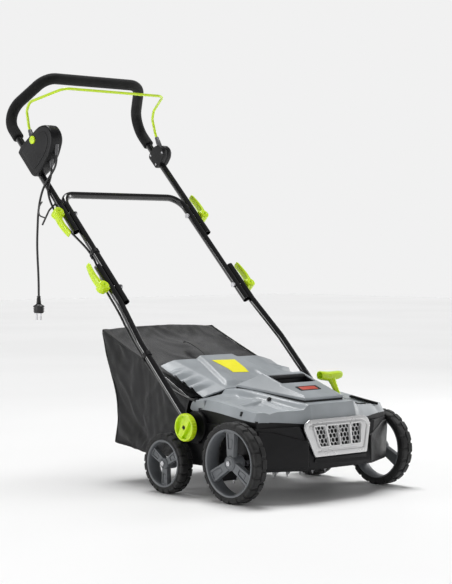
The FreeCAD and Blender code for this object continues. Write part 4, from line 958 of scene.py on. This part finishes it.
def make_grille():
    """Silver face plate with a rolled rim, four framed windows and a honeycomb behind them."""
    middle = at(0, -98.3, 155)
    up = (at(0, -88.5, 200) - at(0, -106.1, 109)).normalized()
    outline = rounded([(-97, 46), (97, 46), (112, 38), (118, 24), (92, -47), (-92, -47), (-118, 24),
                       (-112, 38)], 4)
    inner = rounded([(-88, 36), (88, 36), (101, 30), (106, 22), (84, -34), (-84, -34), (-106, 22),
                     (-101, 30)], 4)
    windows = [[(start, 27), (start + wide, 27), (start + wide + slant - 3, -22), (start + slant + 3, -22)]
               for start, wide, slant in ((-84, 36, 10), (-40, 38, 2), (2, 38, -2), (48, 36, -10))]
    holes = [rounded(window, 6) for window in windows]
    parts = [plate("grille_rim", outline, [inner], 5.6, middle, ACROSS, up, 1.6, 2.9, 3),
             plate("grille_field", inner, holes, 3.4, middle, ACROSS, up, 0.4, 1.8)]
    for window in windows:
        parts.append(plate("window_frame", rounded(grown(window, 2.6), 7), [rounded(grown(window, -1.6), 5)],
                           7.4, middle, ACROSS, up, 1.9, 3.6, 4))
    step = rounded([(-70, -31), (70, -31), (66, -38), (-66, -38)], 2.5)
    parts.append(plate("grille_step", step, [], 2, middle, ACROSS, up, 0.8, 3.6))
    finish_piece(merged("grille_face", parts), SILVER, "chassis", ["front_grille"])
    lattice = []
    for row in range(-3, 4):
        for column in range(-7, 8):
            x = (column + (row % 2) / 2) * HONEYCOMB_CELL * math.sqrt(3)
            y = 2.5 + row * HONEYCOMB_CELL * 1.5
            if abs(x) <= 88 and -24 < y < 28:
                lattice.append(plate("cell", hexagon(x, y, HONEYCOMB_CELL + 0.05),
                                     [hexagon(x, y, HONEYCOMB_CELL - 1.3)], 2.2, middle, ACROSS, up,
                                     0.3, -0.4, 1))
    finish_piece(merged("grille_honeycomb", lattice), SILVER, "chassis")
    back = plate("grille_backing", rounded([(-90, 29), (90, 29), (80, -25), (-80, -25)], 4), [], 1.4, middle,
                 ACROSS, up, 0.2, -2.4)
    finish_piece(back, BLACK, "chassis", ["grille_mesh"], limit=30)


make_grille()

# ---- depth lever ----------------------------------------------------------------------

# The knob from the bottom of its hollow end, out to the mouth, and round to its far end:
# (along, half depth, half height, lift).
KNOB_STATIONS = (
    (-23.5, 0.65, 0.575, 4), (-24, 9.1, 8.05, 4), (-41, 10.14, 8.97, 4), (-41, 10, 8.5, 4),
    (-40, 12, 10.5, 4), (-37, 13, 11.5, 3.6), (-26, 13.5, 12, 2), (-10, 13, 12.5, 0), (8, 12.5, 12, 0.5),
    (24, 12, 11, 2), (34, 10.5, 9.5, 3), (39, 7.5, 6.5, 3.4), (40.5, 4, 3, 3.6))
# The stem from the knob down: (drop, half depth, half width).
STEM_STATIONS = ((0, 11, 15), (10, 9, 13), (22, 7.5, 10), (40, 7, 8), (58, 6.6, 7), (72, 4.8, 5),
                 (140, 4.6, 4.6))


def make_depth_lever():
    """A T-shaped lime knob with a hollow end on its stem; the linkage below it is the CAD's."""
    softened("depth_linkage", "depth_lever", LIME, "front_axle_set", 0.8, 40, 274)
    slant = Vector((0, 74, 128)).normalized()
    centre = at(140, 63, 289)
    knob = [ring(centre + Vector((along, 0, lift)) * MM, BACK * (deep * MM), RISE * (high * MM), 40, 0.75)
            for along, deep, high, lift in KNOB_STATIONS]
    stem = [ring(centre - slant * (drop * MM), ACROSS * (wide * MM), ACROSS.cross(slant) * (deep * MM), 32)
            for drop, deep, wide in STEM_STATIONS]
    parts = [loft("bar", knob), loft("stem", stem)]
    finish_piece(merged("depth_knob", parts), LIME, "front_axle_set", (), 0.6, 45)


make_depth_lever()

# ---- rear flap ------------------------------------------------------------------------

FLAP_HALF = 205
FLAP_FRONT, FLAP_REAR = 187, 354


def flap_ribs(back):
    """Height of the ribs on the flap's sides, 0 to 1; back is 0..1 from the hinge."""
    wave = 0.5 + 0.5 * math.cos(2 * math.pi * (back - 0.22) / 0.19)
    return wave * smoothstep(0.12, 0.2, back) * smoothstep(0.80, 0.70, back)


def flap_height(across, back):
    """Height of the flap's upper face; across is 0..1 from the middle, back 0..1 from the hinge."""
    x = across * FLAP_HALF
    crown = lerp(264, 330, back)
    edge = lerp(246, 317, back)
    shoulder = lerp(116, 150, back)
    level = crown if x < shoulder else lerp(crown, edge, (x - shoulder) / (FLAP_HALF - shoulder))
    raised = lerp(116, 72, back)
    level += 8 * smoothstep(raised, raised - 15, x) * smoothstep(0.04, 0.16, back)
    level -= 4 * smoothstep(62, 46, x) * smoothstep(0.55, 0.35, back) * smoothstep(0.02, 0.12, back)
    return level + 9 * flap_ribs(back) * smoothstep(shoulder + 4, 188, x)


def make_flap():
    """The rear flap with its ribbed sides, hinge barrel and hinge arms."""
    rows, columns = 71, 111
    top, under = [], []
    for i in range(rows):
        back = i / (rows - 1)
        y = lerp(FLAP_FRONT, FLAP_REAR, back)
        for j in range(columns):
            across = 2 * j / (columns - 1) - 1
            level = flap_height(abs(across), back)
            bow = 4 * (1 - across * across) * smoothstep(0.85, 1, back)
            half = 199 + 6 * lerp(1, flap_ribs(back), smoothstep(0.82, 1, abs(across)))
            top.append(at(across * half, y + bow, level))
            under.append(at(across * (half - 2.5), y + bow * 0.9, level - 3))
    hinge = at(0, 191, 257)
    parts = [slab("flap_plate", top, under, rows, columns),
             lathe("barrel", [(-108, 3.4), (-107, 4), (107, 4), (108, 3.4)], hinge, ACROSS, 24)]
    for x in (-96, -32, 32, 96):
        spot = hinge + ACROSS * (x * MM)
        parts.append(plate("arm", box_outline(-3, 3, 0, 8, 1), [], 6, spot, BACK, RISE, 0.5))
    finish_piece(merged("flap_shell", parts), GREY, "flap", ["rear_flap"])


def make_flap_label():
    """The plain yellow label; its corners are (x, 0..1 from the hinge)."""
    corners = [Vector(corner) for corner in ((-30, 0.42), (24, 0.40), (34, 0.80), (-46, 0.82))]
    count = 9
    sheet = []
    for i in range(count):
        front = corners[0].lerp(corners[1], i / (count - 1))
        rear = corners[3].lerp(corners[2], i / (count - 1))
        for j in range(count):
            x, back = front.lerp(rear, j / (count - 1))
            level = flap_height(abs(x) / FLAP_HALF, back) + 0.45
            sheet.append(at(x, lerp(FLAP_FRONT, FLAP_REAR, back), level))
    raised = [point + RISE * (0.35 * MM) for point in sheet]
    finish_piece(slab("flap_label_plain", sheet, raised, count, count), YELLOW, "flap")


make_flap()
make_flap_label()

# ---- handle ---------------------------------------------------------------------------


def make_knob(side_name, side):
    """A lime knob: ribbed wall, recessed face and a raised bar with a dark hub hole."""
    low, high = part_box(f"handle_knob_{side_name}")
    centre = (low + high) / 2
    axis = ACROSS * side
    profile = [(-8, 30), (-8, 33.5), (-7, 34.4), (6.5, 34.4), (8, 33), (8, 29.5), (7, 28.6), (-1, 28),
               (-1.4, 27), (-1.4, 6), (-8, 6)]
    parts = [lathe("wall", profile, centre, axis, 96, False)]
    for spot in ring(centre, BACK * (34.2 * MM), RISE * (34.2 * MM), 30):
        parts.append(tube_mesh("rib", [spot - axis * (6.5 * MM), spot + axis * (6 * MM)], 1.3, 8))
    along = BACK * math.cos(math.radians(125)) + RISE * math.sin(math.radians(125))
    bar = rounded([(-29, -7), (-10, -10), (10, -10), (29, -7), (29, 7), (10, 10), (-10, 10), (-29, 7)], 3)
    parts.append(plate("bar", bar, [disc(5.2, count=28)], 8.5, centre, along, axis.cross(along), 1.4, 3.1, 3))
    finish_piece(merged(f"knob_{side_name}", parts), LIME, f"knob_{side_name}",
                 [f"handle_knob_{side_name}"], 0.5)


make_knob("left", 1)
make_knob("right", -1)


def make_cam_lever(node, body, side, up, points_up, grooved):
    """A cam head round the bolt's end with a curved finger lever."""
    centre = on_handle(side * 266.5, up)
    out = ACROSS * side

    def arm_line(share):
        """A point of the arm's middle line, and the arm's half thickness there."""
        bow = 4.5 * math.sin(math.pi * min(1, share * 1.1)) + 4
        spot = centre + UP * (points_up * lerp(4, 84, share) * MM) + out * (bow * MM)
        return spot, lerp(6.5, 3.2, share)
    head = plate("head", disc(14.2), [disc(3.2)], 26, centre, out, UP * points_up, 2.2)
    jaw = plate("jaw", box_outline(-15, 2, -13, 13, 3), [], 18, centre, out, UP * points_up, 1.6)
    rings = []
    for k in range(15):
        middle, thick = arm_line(k / 14)
        wide = lerp(11.5, 9, k / 14)
        if k == 14:
            thick, wide = thick * 0.7, wide * 0.85
        rings.append(ring(middle, out * (thick * MM), OFF * (wide * MM), 28, 0.55))
    parts = [head, jaw, loft("arm", rings)]
    for k in range(9 if grooved else 0):
        middle, thick = arm_line(0.30 + 0.07 * k)
        spot = middle + out * (thick * MM)
        parts.append(tube_mesh("ridge", [spot - OFF * (7 * MM), spot + OFF * (7 * MM)], 0.9, 8))
    finish_piece(merged(node + "_moulding", parts), LIME, body, [node], limit=38)


make_cam_lever("cam_lever_lower_right", "lever_low_right", -1, LOW_BOLT, 1, False)
make_cam_lever("cam_lever_lower_left", "lever_low_left", 1, LOW_BOLT, 1, False)
make_cam_lever("cam_lever_upper_right", "lever_high_right", -1, HIGH_BOLT, -1, True)
make_cam_lever("cam_lever_upper_left", "lever_high_left", 1, HIGH_BOLT, 1, False)


def make_screws(name, profile, spots):
    """Screw heads in one piece; each spot is (place, direction it faces)."""
    heads = [lathe("screw", profile, place, facing, 20) for place, facing in spots]
    finish_piece(merged(name, heads), STEEL, "upper_handle", limit=30)


def make_switch_box():
    """Two moulded halves with a seam, a dished outer face and the lime button's collar."""
    outline = [(1034, -14, 6), (1037, 8, 6), (1026, 56, 14), (1013, 107, 16), (988, 134, 24), (958, 134, 18),
               (937, 122, 14), (921, 82, 14), (919, 26, 14), (928, -8, 10), (940, -14, 8)]
    centre = on_handle(-242, 0)
    shell = plate("shell", rounded(outline, 8, 6), [], 39.6, centre, UP, OFF, 5.5, 0, 5)
    wider = [(lerp(977, x, 1.006), lerp(58, y, 1.006), corner) for x, y, corner in outline]
    seam = plate("seam", rounded(wider, 8, 6), [], 1.4, centre, UP, OFF, 0.4, 4)
    face = [(1019, 2, 6), (1010, 54, 12), (999, 94, 12), (981, 116, 18), (963, 116, 14), (948, 106, 12),
            (937, 78, 12), (936, 28, 12), (945, 2, 8)]
    panel = plate("panel", rounded(face, 8, 6), [disc(12.4, 1004, 62)], 1.6, on_handle(-262.1, 0),
                  UP, OFF, 0.7)
    finish_piece(merged("switch_box_shell", [shell, seam, panel]), BOX_BLACK, "upper_handle", ["switch_box"])
    cap = [(-5, 11.3), (3.6, 11.3), (4.6, 10.6), (5.2, 8.5), (5.6, 4), (5.7, 0.4)]
    button = lathe("button_cap", cap, on_handle(-262, 1004, 62), -ACROSS, 48)
    finish_piece(button, LIME, "button", ["switch_button"], limit=50)
    make_screws("switch_box_screws", [(-1, 3.6), (0.8, 3.6), (1.3, 2.8), (0.4, 1.6), (0.4, 0.3)],
                [(on_handle(-221.8, up, off), ACROSS)
                 for up, off in ((1020, 20), (960, 100), (945, 20), (995, 105))])


make_switch_box()


def make_bracket():
    """The left-hand bracket that holds the bail: two halves, a seam and three screws on each face."""
    outline = [(992, -14, 5), (1040, -14, 8), (1046, 0, 6), (1044, 30, 8), (1030, 47, 10), (1008, 50, 12),
               (992, 36, 10), (988, 10, 8)]
    parts = [plate("half", rounded(outline, 6), [], 16.2, on_handle(240 + shift, 0), UP, OFF, 2.4, 0, 3)
             for shift in (-8.8, 8.8)]
    shrunk = [(lerp(x, 1018, 0.04), lerp(y, 18, 0.04)) for x, y, _ in outline]
    parts.append(plate("seam", rounded(shrunk, 6), [], 6, on_handle(240, 0), UP, OFF, 0.5))
    finish_piece(merged("bail_bracket_halves", parts), BOX_BLACK, "upper_handle", ["bail_bracket"])
    make_screws("bracket_screws", [(-1, 3.8), (1.0, 3.8), (1.6, 3), (0.7, 1.7), (0.7, 0.3)],
                [(on_handle(240 + side * 16.9, up, off), ACROSS * side)
                 for up, off in ((1000, -4), (1036, -2), (1004, 40)) for side in (-1, 1)])


make_bracket()

for name, node, material, body, bevel in (
        ("boss_mouldings", "handle_bosses", BLACK, "chassis", 1.0),
        ("clip_upper", "cable_clip_upper", BLACK, "middle_handle", 0.6),
        ("clip_lower", "cable_clip_lower", BLACK, "lower_handle", 0.6),
        ("gland_pair", "cord_glands", GLAND, "upper_handle", 0.6),
        ("lead_entry", "lead_gland", CABLE, "chassis", 0.5)):
    softened(name, node, material, body, bevel, 35)


def make_bail_sleeves():
    """Rubber sleeves over the bail's two ends, from the housings up to the CAD sleeves' far ends."""
    sleeves = []
    spots = [vertex.co for vertex in frame["nodes"]["bail_sleeves"].data.vertices]
    for side in (-1, 1):
        own = [spot for spot in spots if spot.x * side > 0]
        middle = sum(own, Vector()) / len(own)
        pivot = on_handle(side * 234, 1015, 32)
        heading = (middle - pivot).normalized()
        reach = max((spot - pivot).dot(heading) for spot in own) / MM
        profile = [(14, 7.2), (16, 7.6), (reach - 12, 7.0), (reach - 11, 6.2), (reach - 1, 6.0), (reach, 5.2)]
        sleeves.append(lathe("sleeve", profile, pivot, heading, 32))
    finish_piece(merged("bail_sleeve_pair", sleeves), GLAND, "bail", ["bail_sleeves"])


make_bail_sleeves()

CAD_FINISH = {
    "lower_tube_left": TUBE_BLACK, "lower_tube_right": TUBE_BLACK, "middle_tube": TUBE_BLACK,
    "upper_tube": TUBE_BLACK, "foam_grip": FOAM, "bail_bar": LIME_PAINT, "cord_hook": TUBE_BLACK,
    "cam_bolts_lower": STEEL, "cam_bolts_upper": STEEL, "front_axle": STEEL, "rear_axle": STEEL,
    "bag_frame": TUBE_BLACK, "housing_screws": STEEL, "motor_stator": IRON, "motor_rotor": IRON,
    "motor_pulley": STEEL, "roller_pulley": BLACK, "drive_belt": BELT, "roller_shaft": STEEL,
    "roller_bearings": STEEL, "roller_blades": STEEL, "blade_spacers": BLACK,
}
for node, material in CAD_FINISH.items():
    mesh = frame["nodes"][node].data
    mesh.materials.clear()
    mesh.materials.append(material)
    mesh.shade_smooth()
    mesh.set_sharp_from_angle(angle=math.radians(35))

# ---- grass bag ------------------------------------------------------------------------

# The bag's half width, its side outline as (y, z) points, and how many grid steps its panels have. A
# face belongs to a side panel when its normal's x is over FLANK_NORMAL.
BAG_HALF = 199
LONG, TALL, WIDE = 46, 26, 44
TOP_EDGE, REAR_EDGE, LOW_EDGE, MOUTH_EDGE = ([Vector(spot) for spot in edge] for edge in (
    ((237, 243), (300, 275), (354, 303), (398, 320), (500, 361), (597, 402)),
    ((597, 402), (583, 345), (560, 290), (538, 220), (531, 160), (546, 104)),
    ((300, 93), (350, 88), (409, 86), (480, 95), (546, 104)),
    ((300, 93), (284, 130), (262, 180), (237, 243))))
CLOTH_FRAMES = 26
MOST_SAG = 14
PIPING_RADIUS = 2.2
SEAM_WELD = 1.2
CLOTH_THICKNESS = 1.2
FLANK_NORMAL = 0.6


def sample(points, share):
    """A point at a share of a smooth line's length."""
    lengths = [(b - a).length for a, b in zip(points, points[1:])]
    goal = share * sum(lengths)
    for i, length in enumerate(lengths):
        if goal <= length + 1e-9:
            t = goal / length
            t2, t3 = t * t, t * t * t
            before, near, far = points[max(i - 1, 0)], points[i], points[i + 1]
            after = points[min(i + 2, len(points) - 1)]
            leave, arrive = (far - before) * 0.5, (after - near) * 0.5
            return (near * (2 * t3 - 3 * t2 + 1) + leave * (t3 - 2 * t2 + t) + far * (3 * t2 - 2 * t3)
                    + arrive * (t3 - t2))
        goal -= length
    return points[-1]


def side_point(u, v):
    """A point of the bag's side: u runs back from the mouth and v up from the bottom."""
    low, top = sample(LOW_EDGE, u), sample(TOP_EDGE, u)
    mouth, rear = sample(MOUTH_EDGE, v), sample(REAR_EDGE[::-1], v)
    corners = (LOW_EDGE[0] * (1 - u) * (1 - v) + LOW_EDGE[-1] * u * (1 - v) + TOP_EDGE[0] * (1 - u) * v
               + TOP_EDGE[-1] * u * v)
    return low * (1 - v) + top * v + mouth * (1 - u) + rear * u - corners


def bag_panels():
    """The cut panels: two sides and three bands. Each entry is (x, outline point, hold), by grid."""
    for side in (-1, 1):
        panel = []
        for i in range(LONG + 1):
            for j in range(TALL + 1):
                u, v = i / LONG, j / TALL
                belly = 5 * math.sin(math.pi * u) * math.sin(math.pi * v)
                hold = 0.6 if i == LONG or j == 0 else 0.0
                if i == 0 or j == TALL or (i == LONG and j == 0):
                    hold = 1.0
                panel.append((side * (BAG_HALF - belly), side_point(u, v), hold))
        yield LONG + 1, TALL + 1, panel
    # Each band is (outline, steps, crown, hold at its sides, hold at its first row and at its last).
    for edge, count, crown, side_hold, first_hold, last_hold in (
            (TOP_EDGE, LONG, 9, 1.0, 1.0, 0.8), (REAR_EDGE, TALL, 0, 0.6, 0.8, 0.0),
            (LOW_EDGE[::-1], LONG, 0, 0.6, 0.0, 1.0)):
        panel = []
        for i in range(count + 1):
            spot = sample(edge, i / count)
            for j in range(WIDE + 1):
                across = 2 * j / WIDE - 1
                rise = crown * (1 - across ** 2) * smoothstep(0.3, 0.9, i / count)
                hold = max(side_hold if j in (0, WIDE) else 0.0, first_hold if i == 0 else 0.0,
                           last_hold if i == count else 0.0)
                panel.append((BAG_HALF * across, spot + Vector((0, rise)), hold))
        yield count + 1, WIDE + 1, panel


def sew_bag():
    """Sews the panels together, with slack in the cloth and a group that holds it to the frame."""
    points, faces, holds = [], [], []
    for rows, columns, panel in bag_panels():
        start = len(points)
        points += [at(x, *spot) for x, spot, _ in panel]
        holds += [hold for _, _, hold in panel]
        faces += [tuple(start + k for k in face) for face in grid_faces(rows, columns)]
    piece = mesh_object("bag_fabric_shell", points, faces, weld=0)
    group = piece.vertex_groups.new(name="held")
    for index, hold in enumerate(holds):
        if hold:
            group.add([index], hold, "REPLACE")
    for vertex in piece.data.vertices:
        skew = Vector((vertex.co.x, vertex.co.y + vertex.co.z * 0.7, vertex.co.z - vertex.co.y * 0.4))
        shift = noise.noise(skew * 11) * 4.0 + noise.noise(skew * 26) * 1.6
        vertex.co += vertex.normal * (shift * (1 - holds[vertex.index]) * MM)
    clean(piece.data, SEAM_WELD * MM)
    return piece


def hang_cloth(piece):
    """Lets the cloth sag and wrinkle by a short simulation, and caps how far each point moves."""
    cloth = piece.modifiers.new("fall", "CLOTH")
    settings = cloth.settings
    settings.quality = 6
    settings.mass = 0.12
    settings.tension_stiffness = 22
    settings.compression_stiffness = 10
    settings.shear_stiffness = 6
    settings.bending_stiffness = 0.15
    settings.shrink_min = -0.012
    settings.vertex_group_mass = "held"
    settings.pin_stiffness = 2.0
    cloth.collision_settings.use_collision = False
    cloth.collision_settings.use_self_collision = False
    cloth.point_cache.frame_end = CLOTH_FRAMES
    for number in range(1, CLOTH_FRAMES + 1):
        bpy.context.scene.frame_set(number)
    shaped = bpy.data.meshes.new_from_object(piece.evaluated_get(bpy.context.evaluated_depsgraph_get()))
    piece.modifiers.remove(cloth)
    for vertex, hung in zip(piece.data.vertices, shaped.vertices):
        move = hung.co - vertex.co
        if move.length > MOST_SAG * MM:
            move = move.normalized() * (MOST_SAG * MM)
        vertex.co += move
    bpy.data.meshes.remove(shaped)
    bpy.context.scene.frame_set(1)


def crease_cloth(piece, group):
    """Creases that cross the panels at two slants, stronger in patches; the held edges stay put."""
    moves = []
    for vertex in piece.data.vertices:
        held = sum(entry.weight for entry in vertex.groups if entry.group == group)
        spot = vertex.co
        side = abs(vertex.normal.x) > FLANK_NORMAL
        first, second = (spot.y, spot.z) if side else (spot.x, spot.y * 0.7 + spot.z * 0.7)
        warp = noise.noise(Vector((first * 6, second * 6, 3))) * 0.05
        rising = noise.noise(Vector(((first + second) * 5, (first - second + warp) * 19, 11)))
        falling = noise.noise(Vector(((first - second) * 5, (first + second - warp) * 23, 29)))
        patch = smoothstep(-0.15, 0.25, noise.noise(Vector((first * 5, second * 5, 17))))
        height = (1 - abs(rising)) ** 5 * 7.5 * patch + (1 - abs(falling)) ** 5 * 7 * (1 - patch) - 3
        moves.append(vertex.normal * (height * (1 - min(1, held)) * MM))
    for vertex, move in zip(piece.data.vertices, moves):
        vertex.co += move


def mark_uv(piece):
    """UVs in metres along each face's own plane, so that the weave keeps one scale."""
    layer = piece.data.uv_layers.new(name="weave")
    for polygon in piece.data.polygons:
        steep = abs(polygon.normal.x) > FLANK_NORMAL
        for index in polygon.loop_indices:
            point = piece.data.vertices[piece.data.loops[index].vertex_index].co
            layer.data[index].uv = (point.y, point.z) if steep else (point.x, point.y + point.z)


def piping(piece, wanted):
    """A bead along the bag's own points nearest to a list of points, so that it lies on the cloth."""
    tree = KDTree(len(piece.data.vertices))
    for vertex in piece.data.vertices:
        tree.insert(vertex.co, vertex.index)
    tree.balance()
    found = []
    for point in wanted:
        spot = tree.find(point)[0]
        if not found or (spot - found[-1]).length > 4 * MM:
            found.append(spot.copy())
    inner = [(a + b * 2 + c) / 4 for a, b, c in zip(found, found[1:], found[2:])]
    return tube_mesh("piping", found[:1] + inner + found[-1:], PIPING_RADIUS, 10)


def make_piping(piece):
    """Beads along the bag's side seams, and across the top and bottom of its rear."""
    beads = []
    for side in (-1, 1):
        for edge, count in ((TOP_EDGE, 40), (REAR_EDGE, 26), (LOW_EDGE, 36)):
            spots = [sample(edge, i / count) for i in range(count + 1)]
            beads.append(piping(piece, [at(side * BAG_HALF, *spot) for spot in spots]))
    for spot in (REAR_EDGE[0], REAR_EDGE[-1]):
        beads.append(piping(piece, [at(BAG_HALF * (2 * j / 40 - 1), *spot) for j in range(41)]))
    finish_piece(merged("bag_piping", beads), BINDING, "bag", limit=60)


def make_strap():
    """The strap loop on top of the bag."""
    steps = 24
    arch = []
    for k in range(steps + 1):
        share = k / steps
        y = lerp(372, 486, share)
        base = sample(TOP_EDGE, (y - 237) / (597 - 237))
        lift = 13 * max(0, math.sin(math.pi * share)) ** 0.6
        arch.append(at(-2 + 6 * share, y, base.y + 12 + lift))
    rings = []
    for k, point in enumerate(arch):
        heading = (arch[min(k + 1, steps)] - arch[max(k - 1, 0)]).normalized()
        across = Vector((1, 0.1, 0))
        across = (across - heading * across.dot(heading)).normalized() * (11 * MM)
        out = heading.cross(across).normalized() * MM
        rings.append([point - across - out, point + across - out, point + across + out, point - across + out])
    finish_piece(loft("bag_strap", rings), BINDING, "bag", (), 0.4)


def make_bag():
    """The fabric bag on its frame, with its piping and strap."""
    piece = sew_bag()
    hang_cloth(piece)
    crease_cloth(piece, piece.vertex_groups["held"].index)
    mark_uv(piece)
    smooth = piece.modifiers.new("finer", "SUBSURF")
    smooth.levels = 1
    smooth.render_levels = 1
    piece.modifiers.new("thickness", "SOLIDIFY").thickness = CLOTH_THICKNESS * MM
    finish_piece(piece, FABRIC, "bag", ["grass_bag"], limit=180)
    make_piping(piece)
    make_strap()


make_bag()

# ---- floor and light ------------------------------------------------------------------

FLOOR_HALF = 14


def turned_to(holder, place, target):
    """Puts a light at a place and turns it to a target."""
    holder.location = place
    holder.rotation_euler = (Vector(target) - Vector(place)).to_track_quat("-Z", "Y").to_euler()


def make_world():
    """A white surround, brighter below the horizon than above it."""
    world = bpy.data.worlds.new("studio")
    bpy.context.scene.world = world
    world.use_nodes = True
    tree = world.node_tree
    background = tree.nodes["Background"]
    place = tree.nodes.new("ShaderNodeTexCoord")
    split = tree.nodes.new("ShaderNodeSeparateXYZ")
    fade = tree.nodes.new("ShaderNodeMapRange")
    for key, value in (("From Min", 0.16), ("From Max", 0.34), ("To Min", 0.88), ("To Max", 0.16)):
        fade.inputs[key].default_value = value
    tree.links.new(place.outputs["Generated"], split.inputs["Vector"])
    tree.links.new(split.outputs["Z"], fade.inputs["Value"])
    tree.links.new(fade.outputs["Result"], background.inputs["Strength"])
    background.inputs["Color"].default_value = (1, 1, 1, 1)


def make_stage():
    """The floor, the world, a soft sun and three strip lights."""
    points = [Vector((x, y, 0)) for x in (-FLOOR_HALF, FLOOR_HALF) for y in (-FLOOR_HALF, FLOOR_HALF)]
    floor = mesh_object("floor", points, [(0, 1, 3, 2)])
    floor.data.materials.append(floor_paint())
    make_world()
    sun = bpy.data.lights.new("key", "SUN")
    sun.energy = 2.7
    sun.angle = math.radians(32)
    turned_to(placed("key", sun), (0.5, 0.9, 3.2), (0, 0, 0))
    for name, place, target, power in (
            ("strip_left", (-3.3, 1.5, 1.3), (0, 0, 0.5), 34),
            ("strip_right", (3.0, -0.5, 1.3), (0, 0, 0.5), 30),
            ("strip_front", (-1.6, -3.6, 2.6), (0, 0, 0.4), 9)):
        light = bpy.data.lights.new(name, "AREA")
        light.shape = "RECTANGLE"
        light.size = 0.8
        light.size_y = 2.2
        light.energy = power
        turned_to(placed(name, light), place, target)
    bpy.context.scene.view_settings.view_transform = "Standard"


make_stage()
